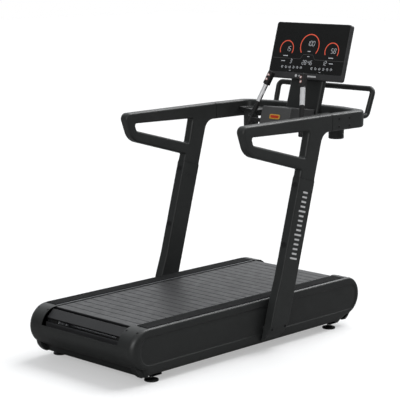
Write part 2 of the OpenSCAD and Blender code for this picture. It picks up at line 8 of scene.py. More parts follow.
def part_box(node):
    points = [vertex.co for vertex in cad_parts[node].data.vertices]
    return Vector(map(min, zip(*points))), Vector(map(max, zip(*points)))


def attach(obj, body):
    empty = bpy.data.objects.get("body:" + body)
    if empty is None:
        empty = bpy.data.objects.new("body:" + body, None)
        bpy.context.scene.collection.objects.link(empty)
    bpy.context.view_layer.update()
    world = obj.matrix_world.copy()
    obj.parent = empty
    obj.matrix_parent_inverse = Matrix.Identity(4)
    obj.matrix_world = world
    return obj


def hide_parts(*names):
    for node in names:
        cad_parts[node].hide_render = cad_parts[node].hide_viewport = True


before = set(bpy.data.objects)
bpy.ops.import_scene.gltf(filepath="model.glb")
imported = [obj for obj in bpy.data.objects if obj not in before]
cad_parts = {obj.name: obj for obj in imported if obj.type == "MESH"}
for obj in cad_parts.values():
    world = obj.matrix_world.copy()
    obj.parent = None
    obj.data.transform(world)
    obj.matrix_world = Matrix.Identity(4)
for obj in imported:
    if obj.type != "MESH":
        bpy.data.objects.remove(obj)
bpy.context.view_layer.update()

# ----------------------------------------------------------
# Lengths are in millimetres and y = 0 is the middle of the running belt, until to_row() places them.
# ----------------------------------------------------------
MM = 0.001
belt_lo, belt_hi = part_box("belt_loops")
BELT_MID_Y = (belt_lo.y + belt_hi.y) / 2
AXLE_Z = (belt_lo.z + belt_hi.z) / 2 / MM
BASE_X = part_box("side_panel_right")[1].x / MM
BASE_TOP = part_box("rear_cap")[1].z / MM
TUBE_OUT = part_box("upright_right")[1].x / MM
SPACER_L = 19.0                         # the uprights' spacers reach this far in from the tube
TUBE_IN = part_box("upright_right")[0].x / MM + SPACER_L
BAR_LO_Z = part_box("front_bar")[0].z / MM
BAR_HI_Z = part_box("front_bar")[1].z / MM

ALONG_X = Matrix(((0, 0, 1, 0), (1, 0, 0, 0), (0, 1, 0, 0), (0, 0, 0, 1)))   # (y, z, x)
FACING = Matrix(((1, 0, 0, 0), (0, 0, -1, 0), (0, 1, 0, 0), (0, 0, 0, 1)))   # (x, z, -y)
UPRIGHT = Matrix.Identity(4)                                                 # (x, y, z)


def deg(a):
    return math.radians(a)


def shift(x, y, z):
    return Matrix.Translation((x, y, z))


def turn(a, axis):
    return Matrix.Rotation(deg(a), 4, axis)


def to_row(mirror=False):
    return shift(0, BELT_MID_Y, 0) @ Matrix.Diagonal((-MM if mirror else MM, MM, MM, 1))


def between(value, pairs):
    """Straight-line look-up in (key, result) pairs with rising keys."""
    if value <= pairs[0][0]:
        return pairs[0][1]
    for (k0, v0), (k1, v1) in zip(pairs, pairs[1:]):
        if value <= k1:
            return v0 + (v1 - v0) * (value - k0) / (k1 - k0)
    return pairs[-1][1]


def smooth(t):
    t = min(1.0, max(0.0, t))
    return t * t * (3 - 2 * t)


# ---- outlines --------------------------------------------

def arc(cx, cy, r, a0, a1, n=12):
    return [(cx + r * math.cos(deg(a0 + (a1 - a0) * i / n)),
             cy + r * math.sin(deg(a0 + (a1 - a0) * i / n))) for i in range(n + 1)]


def rounded(points, n=8):
    """Corners (x, y, radius) to an outline; radius 0 keeps a corner sharp."""
    out = []
    for i, (x, y, r) in enumerate(points):
        if r == 0:
            out.append((x, y))
            continue
        p = Vector((x, y))
        u = (Vector(points[i - 1][:2]) - p).normalized()
        v = (Vector(points[(i + 1) % len(points)][:2]) - p).normalized()
        half = u.angle(v) / 2
        c = p + (u + v).normalized() * r / math.sin(half)
        a = (p + u * r / math.tan(half) - c)
        b = (p + v * r / math.tan(half) - c)
        s, e = math.atan2(a.y, a.x), math.atan2(b.y, b.x)
        d = (e - s + math.pi) % (2 * math.pi) - math.pi
        out += [(c.x + r * math.cos(s + d * k / n), c.y + r * math.sin(s + d * k / n))
                for k in range(n + 1)]
    return out


def round_box(w, h, r, cx=0.0, cy=0.0, n=6):
    return rounded([(cx - w / 2, cy - h / 2, r), (cx + w / 2, cy - h / 2, r),
                    (cx + w / 2, cy + h / 2, r), (cx - w / 2, cy + h / 2, r)], n)


def circle(r, cx=0.0, cy=0.0, n=32):
    return arc(cx, cy, r, 0, 360 * (n - 1) / n, n - 1)


def area(loop):
    return sum(a[0] * b[1] - b[0] * a[1] for a, b in zip(loop, loop[1:] + loop[:1])) / 2


def tidy(loop):
    """Counter-clockwise, without repeated points."""
    out = []
    for p in loop:
        if not out or (Vector(p) - Vector(out[-1])).length > 1e-3:
            out.append((p[0], p[1]))
    if (Vector(out[0]) - Vector(out[-1])).length < 1e-3:
        out.pop()
    return out if area(out) > 0 else out[::-1]


def inset(loop, d, fixed=None):
    """Moves every edge of a counter-clockwise outline inwards by d, apart from edges that are fixed."""
    if abs(d) < 1e-9:
        return list(loop)
    n, out = len(loop), []
    pts = [Vector(p) for p in loop]
    nor, dist = [], []
    for i in range(n):
        e = (pts[(i + 1) % n] - pts[i]).normalized()
        nor.append(Vector((-e.y, e.x)))
        dist.append(0.0 if fixed and fixed((pts[i] + pts[(i + 1) % n]) / 2) else d)
    for i in range(n):
        a, b, da, db = nor[i - 1], nor[i], dist[i - 1], dist[i]
        cross = a.x * b.y - a.y * b.x
        if abs(cross) < 0.02:
            out.append(tuple(pts[i] + (a + b).normalized() * (da + db) / 2))
        else:
            out.append((pts[i].x + (da * b.y - db * a.y) / cross,
                        pts[i].y + (db * a.x - da * b.x) / cross))
    return out


def soft(t0, t1, r0, r1=None, n=4):
    """Steps (t, inset) of a wall from t0 to t1 whose two edges are rounded to r0 and r1."""
    r1 = r0 if r1 is None else r1
    out = []
    for k in range(n + 1 if r0 else 1):
        a = math.pi / 2 * k / n
        out.append((t0 + r0 * (1 - math.cos(a)), r0 * (1 - math.sin(a))))
    for k in range(n + 1 if r1 else 1):
        a = math.pi / 2 * (1 - k / n)
        out.append((t1 - r1 * (1 - math.cos(a)), r1 * (1 - math.sin(a))))
    return out


# ---- solids ----------------------------------------------

def ring(bm, loop, t, place):
    return [bm.verts.new(place @ Vector((p[0], p[1], t))) for p in loop]


def wall(bm, a, b, closed=True):
    n = len(a)
    for i in range(n if closed else n - 1):
        j = (i + 1) % n
        bm.faces.new((a[i], a[j], b[j], b[i]))


def fill(bm, rings):
    """A flat face inside the first ring and outside the others."""
    if len(rings) == 1:
        bm.faces.new(rings[0])
        return
    edges = []
    for r in rings:
        for i in range(len(r)):
            e = bm.edges.get((r[i], r[(i + 1) % len(r)]))
            edges.append(e or bm.edges.new((r[i], r[(i + 1) % len(r)])))
    bmesh.ops.triangle_fill(bm, use_beauty=True, use_dissolve=False, edges=edges)


def slab(bm, outline, steps, place, holes=(), pockets=(), fixed=None):
    """A solid swept along t. steps are (t, inset). holes are (outline, steps), through the solid.
    pockets are (outline, steps) that start in the last face: a groove, a recess or a raised panel."""
    outline = tidy(outline)
    rings = [ring(bm, inset(outline, d, fixed), t, place) for t, d in steps]
    for a, b in zip(rings, rings[1:]):
        wall(bm, a, b)
    first, last = [rings[0]], [rings[-1]]
    for loop, hole_steps in holes:
        loop = tidy(loop)
        hr = [ring(bm, inset(loop, -d), t, place) for t, d in hole_steps]
        for a, b in zip(hr, hr[1:]):
            wall(bm, b, a)
        first.append(hr[0])
        last.append(hr[-1])
    for loop, pocket_steps in pockets:
        loop = tidy(loop)
        pr = [ring(bm, inset(loop, d), t, place) for t, d in pocket_steps]
        for a, b in zip(pr, pr[1:]):
            wall(bm, a, b)
        fill(bm, [pr[-1]])
        last.append(pr[0])
    fill(bm, first)
    fill(bm, last)


def lathe(bm, profile, place, n=32, closed=False):
    """Turns (radius, height) points about the t axis. Radius 0 closes an end; closed joins the two ends."""
    rows = []
    for r, h in profile:
        rows.append([bm.verts.new(place @ Vector((0, 0, h)))] if r == 0 else
                    ring(bm, [(r * math.cos(2 * math.pi * i / n), r * math.sin(2 * math.pi * i / n))
                              for i in range(n)], h, place))
    for a, b in zip(rows, rows[1:] + rows[:closed]):
        if len(a) == 1 and len(b) == 1:
            continue
        if len(a) == 1:
            for i in range(n):
                bm.faces.new((a[0], b[i], b[(i + 1) % n]))
        elif len(b) == 1:
            for i in range(n):
                bm.faces.new((a[i], a[(i + 1) % n], b[0]))
        else:
            wall(bm, a, b)


def bend(points, n=8):
    """A 3-D path from corners (x, y, z, radius)."""
    out = []
    for i, (x, y, z, r) in enumerate(points):
        p = Vector((x, y, z))
        if r == 0 or i in (0, len(points) - 1):
            out.append(p)
            continue
        u = (Vector(points[i - 1][:3]) - p).normalized()
        v = (Vector(points[i + 1][:3]) - p).normalized()
        half = u.angle(v) / 2
        c = p + (u + v).normalized() * r / math.sin(half)
        s, e = p + u * r / math.tan(half) - c, p + v * r / math.tan(half) - c
        total = s.angle(e)
        for k in range(n + 1):
            a = total * k / n
            q = (s * math.sin(total - a) + e * math.sin(a)) / math.sin(total)
            out.append(c + q)
    return out


def loft(bm, rows, place):
    """A solid through rows of points, with flat ends."""
    rings = [[bm.verts.new(place @ Vector(p)) for p in row] for row in rows]
    for a, b in zip(rings, rings[1:]):
        wall(bm, a, b)
    fill(bm, [rings[0]])
    fill(bm, [rings[-1]])


def pipe(bm, path, radius, n=20):
    """Sweeps a circle along a path; its first axis starts out level."""
    side = None
    rows = []
    for i, p in enumerate(path):
        d = (path[min(i + 1, len(path) - 1)] - path[max(i - 1, 0)]).normalized()
        if side is None:
            side = d.cross(Vector((0, 0, 1)))
        side = (side - d * side.dot(d)).normalized()
        rows.append([p + side * u + side.cross(d) * v for u, v in circle(radius, n=n)])
    loft(bm, rows, UPRIGHT)


def sheet(bm, outer, inner, keep, place):
    """A plate between two grids of points; keep(row, column) says which cells it fills."""
    a, b = ([[bm.verts.new(place @ Vector(p)) for p in row] for row in grid] for grid in (outer, inner))
    rows, cols = len(outer) - 1, len(outer[0]) - 1

    def filled(i, j):
        return 0 <= i < rows and 0 <= j < cols and keep(i, j)

    for i in range(rows):
        for j in range(cols):
            if not filled(i, j):
                continue
            corners = [(i, j), (i, j + 1), (i + 1, j + 1), (i + 1, j)]
            bm.faces.new([a[r][c] for r, c in corners])
            bm.faces.new([b[r][c] for r, c in reversed(corners)])
            beyond = [(i - 1, j), (i, j + 1), (i + 1, j), (i, j - 1)]
            for k in range(4):
                if not filled(*beyond[k]):
                    (r0, c0), (r1, c1) = corners[k], corners[(k + 1) % 4]
                    bm.faces.new((a[r0][c0], b[r0][c0], b[r1][c1], a[r1][c1]))
    spare = [v for v in bm.verts if not v.link_faces]
    bmesh.ops.delete(bm, geom=spare, context="VERTS")


def soften(ob, width):
    """Rounds every sharp edge of an object by a small bevel."""
    bev = ob.modifiers.new("edges", "BEVEL")
    bev.width = width * MM
    bev.segments = 2
    bev.limit_method = "ANGLE"
    bev.angle_limit = deg(38)
    bev.use_clamp_overlap = True
    bev.harden_normals = False
    ob.modifiers.new("flat faces", "WEIGHTED_NORMAL").keep_sharp = True


def piece(name, bm, shader, mirror=False, sharp=32, replaces=(), weighted=True, body="frame"):
    """Finishes a mesh in millimetres as a named object that rides on a body."""
    bm.transform(to_row(mirror))
    bmesh.ops.remove_doubles(bm, verts=bm.verts, dist=2e-6)
    bmesh.ops.dissolve_degenerate(bm, edges=bm.edges, dist=1e-6)
    bmesh.ops.recalc_face_normals(bm, faces=bm.faces)
    me = bpy.data.meshes.new(name)
    bm.to_mesh(me)
    bm.free()
    me.shade_smooth()
    me.set_sharp_from_angle(angle=deg(sharp))
    ob = bpy.data.objects.new(name, me)
    bpy.context.scene.collection.objects.link(ob)
    me.materials.append(shader.mat)
    if weighted:
        ob.modifiers.new("flat faces", "WEIGHTED_NORMAL").keep_sharp = True
    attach(ob, body)
    if replaces:
        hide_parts(*replaces)
    return ob


SIDES = (("left", True), ("right", False))


# ---- materials -------------------------------------------

def add_node(tree, kind, values):
    """A new node whose named inputs or settings have these values."""
    n = tree.nodes.new(kind)
    for k, v in values.items():
        if k in n.inputs:
            n.inputs[k].default_value = v
        else:
            setattr(n, k, v)
    return n


def add_range(tree, value, source, target, **settings):
    """The value, moved from the source range to the target range."""
    n = add_node(tree, "ShaderNodeMapRange", settings)
    for k, v in zip(("From Min", "From Max", "To Min", "To Max"), source + target):
        n.inputs[k].default_value = v
    tree.links.new(value, n.inputs["Value"])
    return n.outputs["Result"]


class Shader:
    """A node material: a principled surface with colour variation, grain and edge wear."""

    def __init__(self, name, colour, rough=0.5, metal=0.0, spec=0.5, coat=0.0):
        self.mat = bpy.data.materials.new(name)
        self.mat.use_nodes = True
        self.mat.diffuse_color = (*colour, 1)
        self.nt = self.mat.node_tree
        self.bsdf = self.nt.nodes["Principled BSDF"]
        self.coords = self.node("ShaderNodeTexCoord").outputs["Object"]
        self.set("Metallic", metal)
        self.set("Specular IOR Level", spec)
        self.set("Coat Weight", coat)
        self.set("Coat Roughness", 0.08)
        self.set("Roughness", rough)
        self.set("Base Color", (*colour, 1))
        self.colour, self.rough = colour, rough

    def node(self, kind, **values):
        return add_node(self.nt, kind, values)

    def link(self, a, b):
        self.nt.links.new(a, b)

    def set(self, name, value):
        self.bsdf.inputs[name].default_value = value

    def noise(self, scale, detail=2.0, stretch=None):
        n = self.node("ShaderNodeTexNoise", Scale=scale, Detail=detail)
        if stretch:
            pulled = self.node("ShaderNodeMapping", Scale=stretch)
            self.link(self.coords, pulled.inputs["Vector"])
            self.link(pulled.outputs["Vector"], n.inputs["Vector"])
        else:
            self.link(self.coords, n.inputs["Vector"])
        return n.outputs["Fac"]

    def mapped(self, value, lo, hi, source=(0.3, 0.7)):
        return add_range(self.nt, value, source, (lo, hi))

    def blend(self, share, a, b):
        """A colour from a to b by a node's share; a and b are colours or a node's output."""
        n = self.node("ShaderNodeMix", data_type="RGBA")
        self.link(share, n.inputs["Factor"])
        for slot_i, v in ((6, a), (7, b)):      # the inputs for colours
            if hasattr(v, "links"):
                self.link(v, n.inputs[slot_i])
            else:
                n.inputs[slot_i].default_value = (*v, 1)
        return n.outputs[2]

    def tinted(self, factor):
        return tuple(min(1, x * factor) for x in self.colour)

    def vary(self, amount, scale):
        """Slow colour drift over the surface, and fine speckle."""
        drift = self.mapped(self.noise(scale, 3), 0, 1)
        slow = self.blend(drift, self.tinted(1 - amount), self.tinted(1 + amount))
        fine = self.mapped(self.noise(scale * 60, 1), 0, 0.35)
        self.colour_out = self.blend(fine, slow, self.tinted(1 - 1.6 * amount))
        self.link(self.colour_out, self.bsdf.inputs["Base Color"])
        return self

    def gloss(self, spread, scale, stretch=None):
        """Roughness that drifts by spread either way."""
        self.link(self.mapped(self.noise(scale, 3, stretch), self.rough - spread,
                              self.rough + spread), self.bsdf.inputs["Roughness"])
        return self

    def bump(self, height, distance, strength):
        """Adds a bump to those before it."""
        n = self.node("ShaderNodeBump", Strength=strength, Distance=distance)
        self.link(height, n.inputs["Height"])
        if self.bsdf.inputs["Normal"].links:
            self.link(self.bsdf.inputs["Normal"].links[0].from_socket, n.inputs["Normal"])
        self.link(n.outputs["Normal"], self.bsdf.inputs["Normal"])
        return self

    def grain(self, scale, distance, strength, stretch=None):
        return self.bump(self.noise(scale, 2, stretch), distance, strength)

    def pebble(self, scale, distance, strength):
        n = self.node("ShaderNodeTexVoronoi", Scale=scale)
        self.link(self.coords, n.inputs["Vector"])
        return self.bump(n.outputs["Distance"], distance, strength)

    def ribs(self, axis, pitch, distance, strength):
        """Parallel ribs every pitch metres along an axis."""
        n = self.node("ShaderNodeTexWave", bands_direction=axis, Scale=math.pi / 10 / pitch)
        self.link(self.coords, n.inputs["Vector"])
        return self.bump(n.outputs["Fac"], distance, strength)

    def wear(self, amount, radius=0.002, tint=1.9):
        """Edges rubbed a little lighter, from how far the rounded normal leaves the true one."""
        b = self.node("ShaderNodeBevel", samples=4, Radius=radius)
        g = self.node("ShaderNodeNewGeometry")
        dot = self.node("ShaderNodeVectorMath", operation="DOT_PRODUCT")
        self.link(b.outputs["Normal"], dot.inputs[0])
        self.link(g.outputs["Normal"], dot.inputs[1])
        mask = self.mapped(dot.outputs["Value"], amount, 0, (0.80, 0.985))
        self.link(self.blend(mask, self.colour_out, self.tinted(tint)), self.bsdf.inputs["Base Color"])
        return self

    def glow(self, colour, strength):
        self.set("Emission Color", (*colour, 1))
        self.set("Emission Strength", strength)
        return self


COAT = Shader("satin_powder_coat", (0.028, 0.030, 0.0295), rough=0.44, spec=0.36).vary(0.14, 6) \
    .gloss(0.06, 25).grain(900, 0.00012, 0.30).wear(0.35)
PANEL = Shader("grained_panel_plastic", (0.019, 0.0205, 0.0202), rough=0.44, spec=0.45).vary(0.12, 5) \
    .gloss(0.05, 18).pebble(700, 0.00012, 0.25).wear(0.30)
DARK = Shader("dark_moulded_plastic", (0.012, 0.012, 0.0125), rough=0.45, spec=0.4).vary(0.15, 12) \
    .gloss(0.06, 40).pebble(900, 0.0001, 0.25)
BOX = Shader("control_box_plastic", (0.086, 0.087, 0.087), rough=0.48, spec=0.4).vary(0.08, 14) \
    .gloss(0.05, 40).pebble(900, 0.0001, 0.22).wear(0.4, 0.002, 2.2)
TRAY = Shader("tray_plastic", (0.022, 0.023, 0.023), rough=0.46, spec=0.42).vary(0.12, 12).gloss(0.05, 40) \
    .pebble(800, 0.0001, 0.25).wear(0.35)
TREAD = Shader("slat_tread_rubber", (0.027, 0.0275, 0.029), rough=0.45, spec=0.42).vary(0.10, 7) \
    .gloss(0.07, 22).ribs("Y", 0.006, 0.00018, 0.35).pebble(600, 0.00012, 0.25)
STRIP = Shader("grip_strip_rubber", (0.010, 0.0105, 0.011), rough=0.85, spec=0.12).vary(0.2, 15) \
    .pebble(420, 0.0003, 0.5).grain(1500, 0.0001, 0.3)
SOFT = Shader("soft_touch_rubber", (0.020, 0.020, 0.020), rough=0.62, spec=0.35).vary(0.15, 20) \
    .pebble(900, 0.00015, 0.35)
FOOT = Shader("foot_rubber", (0.010, 0.010, 0.010), rough=0.6, spec=0.35).vary(0.2, 20) \
    .pebble(700, 0.0002, 0.4)
BOLT = Shader("blackened_steel", (0.02, 0.02, 0.021), rough=0.36, metal=0.6).vary(0.2, 60).gloss(0.1, 200)
ZINC = Shader("zinc_steel", (0.52, 0.52, 0.50), rough=0.32, metal=1.0).vary(0.08, 40).gloss(0.08, 90)
ALU = Shader("anodised_aluminium", (0.11, 0.113, 0.117), rough=0.44, metal=0.7).vary(0.06, 10) \
    .gloss(0.05, 60).grain(160, 0.00008, 0.3, (1, 0.02, 1))
SLAT_ALU = Shader("extruded_aluminium", (0.36, 0.365, 0.375), rough=0.38, metal=1.0).vary(0.06, 10) \
    .gloss(0.06, 40).grain(220, 0.00008, 0.3, (0.02, 1, 1))
# slat bars made near black: painted shade for where they show between and beside the treads
SLAT_BAR_SHADE = Shader("slat_bar_painted_shade", (0.012, 0.012, 0.013), rough=0.6, metal=0.1, spec=0.2) \
    .vary(0.06, 10).gloss(0.06, 40).grain(220, 0.00008, 0.3, (0.02, 1, 1))
TURNED = Shader("turned_steel", (0.55, 0.55, 0.57), rough=0.28, metal=1.0).vary(0.05, 30) \
    .gloss(0.06, 120, (8, 1, 1)).ribs("X", 0.0009, 0.00004, 0.4)
IRON = Shader("cast_iron", (0.10, 0.105, 0.11), rough=0.6, metal=0.7).vary(0.2, 40).grain(350, 0.0003, 0.5)
FRAME = Shader("frame_powder_coat", (0.020, 0.020, 0.022), rough=0.5, spec=0.4).vary(0.15, 8) \
    .gloss(0.06, 25).grain(800, 0.00015, 0.35)
CARRIER = Shader("carrier_belt_rubber", (0.014, 0.014, 0.014), rough=0.7, spec=0.3).vary(0.2, 30) \
    .ribs("X", 0.004, 0.0003, 0.4)
BRAKE = Shader("painted_brake_arm", (0.035, 0.09, 0.17), rough=0.42).vary(0.1, 30) \
    .grain(600, 0.0001, 0.3).wear(0.4)
NICKEL = Shader("nickel_plate", (0.70, 0.69, 0.66), rough=0.22, metal=1.0).vary(0.05, 60).gloss(0.05, 150)
BRASS = Shader("machined_brass", (0.58, 0.42, 0.17), rough=0.30, metal=1.0).vary(0.08, 60) \
    .ribs("X", 0.0008, 0.00004, 0.4)
MOTOR = Shader("motor_housing", (0.03, 0.03, 0.035), rough=0.5).vary(0.12, 40).pebble(900, 0.0001, 0.3)
BOARD = Shader("solder_mask_green", (0.012, 0.10, 0.035), rough=0.35, coat=0.3).vary(0.25, 90) \
    .grain(500, 0.0002, 0.4)
SLEEVING = Shader("braided_cable", (0.012, 0.012, 0.012), rough=0.6).vary(0.2, 60).pebble(500, 0.0004, 0.6)
RIM = Shader("console_rim_plastic", (0.050, 0.050, 0.052), rough=0.42, spec=0.45).vary(0.10, 12) \
    .gloss(0.05, 40).pebble(900, 0.0001, 0.25).wear(0.35)
GLASS = Shader("display_glass", (0.016, 0.0165, 0.0165), rough=0.18, spec=0.38, coat=0.15).vary(0.2, 6) \
    .gloss(0.03, 8)
YELLOW = Shader("yellow_key_border", (0.78, 0.43, 0.06), rough=0.38, spec=0.45, coat=0.2).vary(0.06, 60) \
    .gloss(0.05, 90).grain(900, 0.00008, 0.25)
RED = Shader("orange_red_key", (0.60, 0.040, 0.010), rough=0.32, spec=0.45, coat=0.35).vary(0.08, 60) \
    .gloss(0.05, 90).grain(900, 0.00008, 0.2)
PLATE = Shader("satin_contact_plate", (0.88, 0.88, 0.89), rough=0.34, metal=0.1, spec=0.5).vary(0.04, 40) \
    .gloss(0.05, 70).grain(140, 0.00006, 0.3, (1, 1, 0.04))
ROSE = Shader("rose_chrome", (0.66, 0.36, 0.33), rough=0.26, metal=0.75).vary(0.06, 80).gloss(0.06, 200)
# the key centres glow faintly though no lamp lights them: a painted glow on their pearl colour
PEARL_PAINTED_GLOW = Shader("button_pearl_painted_glow", (0.80, 0.76, 0.75), rough=0.3, coat=0.3).vary(0.05, 90).gloss(0.05, 200) \
    .glow((1.0, 0.95, 0.92), 0.15)
STRIPE = Shader("light_grey_print", (0.72, 0.72, 0.73), rough=0.5).vary(0.06, 40).gloss(0.06, 60) \
    .grain(900, 0.00005, 0.2)
GAUGE = Shader("gauge_orange", (0.55, 0.09, 0.05), rough=0.4).vary(0.12, 70).glow((0.86, 0.11, 0.06), 0.52)
DIGIT = Shader("digit_white", (0.4, 0.41, 0.43), rough=0.4).vary(0.1, 90).glow((0.62, 0.64, 0.68), 0.40)
FAINT = Shader("faint_line", (0.06, 0.06, 0.06), rough=0.4).vary(0.1, 90).glow((0.5, 0.5, 0.5), 0.06)


# ---- carried-over CAD nodes ------------------------------

KEPT = {        # node: its material, and the width in mm of the rounding of its edges
    "side_beams": (FRAME, 1.5), "crossmembers": (FRAME, 1.5),
    "belt_guards": (DARK, 0.8), "foot_rails": (ALU, 1.0),
    "axle_bearings": (IRON, 1.5), "front_axle": (TURNED, 1.0), "rear_axle": (TURNED, 1.0),
    "front_pulleys": (SLAT_ALU, 1.0), "rear_pulleys": (SLAT_ALU, 1.0), "belt_loops": (CARRIER, 1.0),
    # the slat bars take the near-black painted shade
    "slat_bars": (SLAT_BAR_SHADE, 0.5), "support_rollers": (TURNED, 0.8), "roller_axles": (BOLT, 0.5),
    "roller_rails": (FRAME, 0.8), "drive_pulley": (SLAT_ALU, 1.0), "drive_belt": (CARRIER, 0.4),
    "flywheel": (IRON, 1.2), "flywheel_shaft": (TURNED, 0.8), "flywheel_bracket": (FRAME, 1.0),
    "brake_carrier": (BRAKE, 0.8), "brake_magnets": (NICKEL, 0.4), "brake_pin": (TURNED, 0.5),
    "brake_cam": (BRASS, 0.5), "brake_motor": (MOTOR, 1.5), "controller_box": (BOARD, 1.0),
    "cable_harness": (SLEEVING, 0.0), "console_board": (BOARD, 0.5), "grip_crossbar": (SOFT, 3.0),
}
for node_name, (shader, width) in KEPT.items():
    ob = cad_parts[node_name]
    ob.data.materials.clear()
    ob.data.materials.append(shader.mat)
    ob.data.shade_smooth()
    weld = ob.modifiers.new("weld", "WELD")
    weld.merge_threshold = 2e-6
    flat = ob.modifiers.new("flat", "DECIMATE")
    flat.decimate_type = "DISSOLVE"
    flat.angle_limit = deg(0.8)
    if width:
        soften(ob, width)
    else:
        ob.modifiers.new("flat faces", "WEIGHTED_NORMAL").keep_sharp = True

# ---- base: side panels -----------------------------------

END_R = 108                             # radius of the base's round ends
REAR_C, FRONT_C = -794, 807             # their centres
END_Z = BASE_TOP - END_R
SKIRT_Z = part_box("side_panel_right")[0].z / MM

PANEL_T = 10.0
SOFT_IN, SOFT_DEEP = 13.0, 9.7          # rounding of the panel's rim, across the face and in depth
LIP = 26.0                              # height of the lip that curves in along the lower edge
DIP = 7.0                               # the front of the skirt hangs this much lower
CORNER_R = 40.0                         # rounding of the base's two rear corners, seen from above
TRACK_IN = (56.0, 25.0)                 # the racetrack border stays this far from the rear and front ends
TRACK_Z = (BASE_TOP - 192, BASE_TOP - 38)
# section of the groove inside the border: (depth, distance in)
GROOVE = ((0, 0), (0.5, 1.5), (1.8, 3.5), (3.0, 5.5), (3.5, 8), (3.6, 12), (3.3, 18), (2.7, 27), (2.2, 36))
DIP_ENDS = (59, 66, 92, 106)            # the dip starts, is full, ends and is gone this far behind FRONT_C


def turned_in(x):
    """How far the rounded rear corners have moved in from the end of the base at x."""
    return CORNER_R - math.sqrt(CORNER_R ** 2 - max(0.0, abs(x) - BASE_X + CORNER_R) ** 2)


def base_side(inset_by, lip, pulled):
    """The base's outline, moved in by inset_by, its lower edge raised by lip and its rear end pulled in."""
    r, low, lean = END_R - inset_by, SKIRT_Z + DIP + lip, 0.4 * lip
    hang = low - DIP * (1 - lip / LIP)
    start, full, end, gone = (FRONT_C - d for d in DIP_ENDS)
    skirt = [(start - lean, low), (full - lean, hang), (end, hang), (gone, low), (REAR_C + 4 + lean, low)]
    return arc(FRONT_C, END_Z, r, 90, -90, 36) + skirt + arc(REAR_C + pulled, END_Z, r, 255, 90, 30)


for side, mirror in SIDES:
    bm = bmesh.new()
    rings = []
    inner = BASE_X - PANEL_T
    for x, a in [(inner, 0)] + [(inner + 0.3 + SOFT_DEEP * math.sin(deg(a)), a) for a in range(0, 91, 9)]:
        turned = 1 - math.cos(deg(a))
        pulled = turned_in(min(x, BASE_X)) - SOFT_IN * turned
        rings.append(ring(bm, base_side(SOFT_IN * turned, LIP * turned, pulled), x, ALONG_X))
    for a, b in zip(rings, rings[1:]):
        wall(bm, a, b)
    fill(bm, [rings[0]])
    track_rear, track_front = REAR_C - END_R + TRACK_IN[0], FRONT_C + END_R - TRACK_IN[1]
    track = tidy(rounded([(track_rear, TRACK_Z[0], 70), (track_front, TRACK_Z[0], 70),
                          (track_front, TRACK_Z[1], 60), (track_rear, TRACK_Z[1], 60)], 16))
    groove = [ring(bm, inset(track, d), BASE_X - t, ALONG_X) for t, d in GROOVE]
    for a, b in zip(groove, groove[1:]):
        wall(bm, a, b)
    fill(bm, [groove[-1]])
    fill(bm, [rings[-1], groove[0]])
    piece(f"side_panel_{side}_shell", bm, PANEL, mirror,
          replaces=[f"side_panel_{side}"])

# ---- base: end caps --------------------------------------

CAP_HALF = BASE_X - PANEL_T
CAP_T = 4.0
CAP_REACH = 13.0                        # a cap covers this much of the deck's flat top
OPEN_HALF, OPEN_TOP = 295.0, 167.7      # the opening where the belt turns: half width, lower edge's angle
LOBE_X = (350, 386)
LOBE = [(-68, -82), (-60, -108), (-42, -130), (-22, -145), (10, -145), (16, -131), (0, -131), (-27, -101.5)]
# name, centre of the round end, direction inwards, and where the shell ends under the base
CAPS = (("rear", REAR_C, 1, (-6, -146)), ("front", FRONT_C, -1, (4, SKIRT_Z + DIP - END_Z)))
CAP_X = [OPEN_HALF] + [BASE_X - CORNER_R + 4 * k for k in range(8)] + [CAP_HALF]
CAP_X = [-x for x in reversed(CAP_X)] + CAP_X


def cap_line(r, chin):
    """The shell's section from its top edge over the round end to its chin, and the opening's last row."""
    over = arc(0, 0, r, 90, OPEN_TOP, 14)
    return [(CAP_REACH, r)] + over + arc(0, 0, r, OPEN_TOP, 255, 14)[1:] + [chin], len(over)


def end_moved(x, d):
    """How far the base's end has moved in at x, where d is 1 at the rear and -1 at the front."""
    return turned_in(x) if d > 0 else 0


for name, c, d, chin in CAPS:
    grids = []
    for r, foot in ((END_R, chin), (END_R - CAP_T, (chin[0] + 6, chin[1]))):
        line, opening = cap_line(r, foot)
        grids.append([[(x, c + d * y + (end_moved(x, d) if y < CAP_REACH else 0), END_Z + z)
                       for x in CAP_X] for y, z in line])
    bm = bmesh.new()
    sheet(bm, *grids, lambda i, j: i >= opening or CAP_X[j] * CAP_X[j + 1] > 0, UPRIGHT)
    for flip in (1, -1):        # two lobes hang down ahead of the feet
        slab(bm, [(c + d * y, END_Z + z) for y, z in LOBE], soft(*LOBE_X, 4, 4, 3),
             Matrix.Diagonal((flip, 1, 1, 1)) @ ALONG_X)
    soften(piece(f"{name}_cap_shell", bm, PANEL, weighted=False,
                 replaces=[f"{name}_cap"]), 1.6)

# ---- non-slip strips -------------------------------------

strip_lo, strip_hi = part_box("grip_strips")
STRIP_IN = 315.0                        # the strip's inner edge
STRIP_RIBS, STRIP_EDGE, STRIP_ROUND = 13, 4.0, 1.2
bm = bmesh.new()
half_l = (strip_hi.y - strip_lo.y) / 2 / MM
x1 = strip_hi.x / MM
z0, z1 = strip_lo.z / MM, strip_hi.z / MM
crest, valley, edge = z1 - 0.2, z1 - 0.8, z1 - STRIP_ROUND
pitch = (x1 - STRIP_IN - 2 * STRIP_EDGE) / STRIP_RIBS
section = [(STRIP_IN, z0), (x1, z0), (x1, edge), (x1 - STRIP_ROUND, crest)]
for k in range(STRIP_RIBS):
    a = x1 - STRIP_EDGE - k * pitch
    quarters = enumerate((crest, valley, valley, crest))
    section += [(a - 0.25 * pitch * q, z) for q, z in quarters]
section += [(STRIP_IN + STRIP_EDGE, crest), (STRIP_IN + STRIP_ROUND, crest), (STRIP_IN, edge)]
for flip in (1, -1):
    slab(bm, [(flip * x, z) for x, z in section], [(-half_l, 0), (half_l, 0)], FACING)
piece("grip_strips_ribbed", bm, STRIP, replaces=["grip_strips"], sharp=20)

# ---- slat treads -----------------------------------------

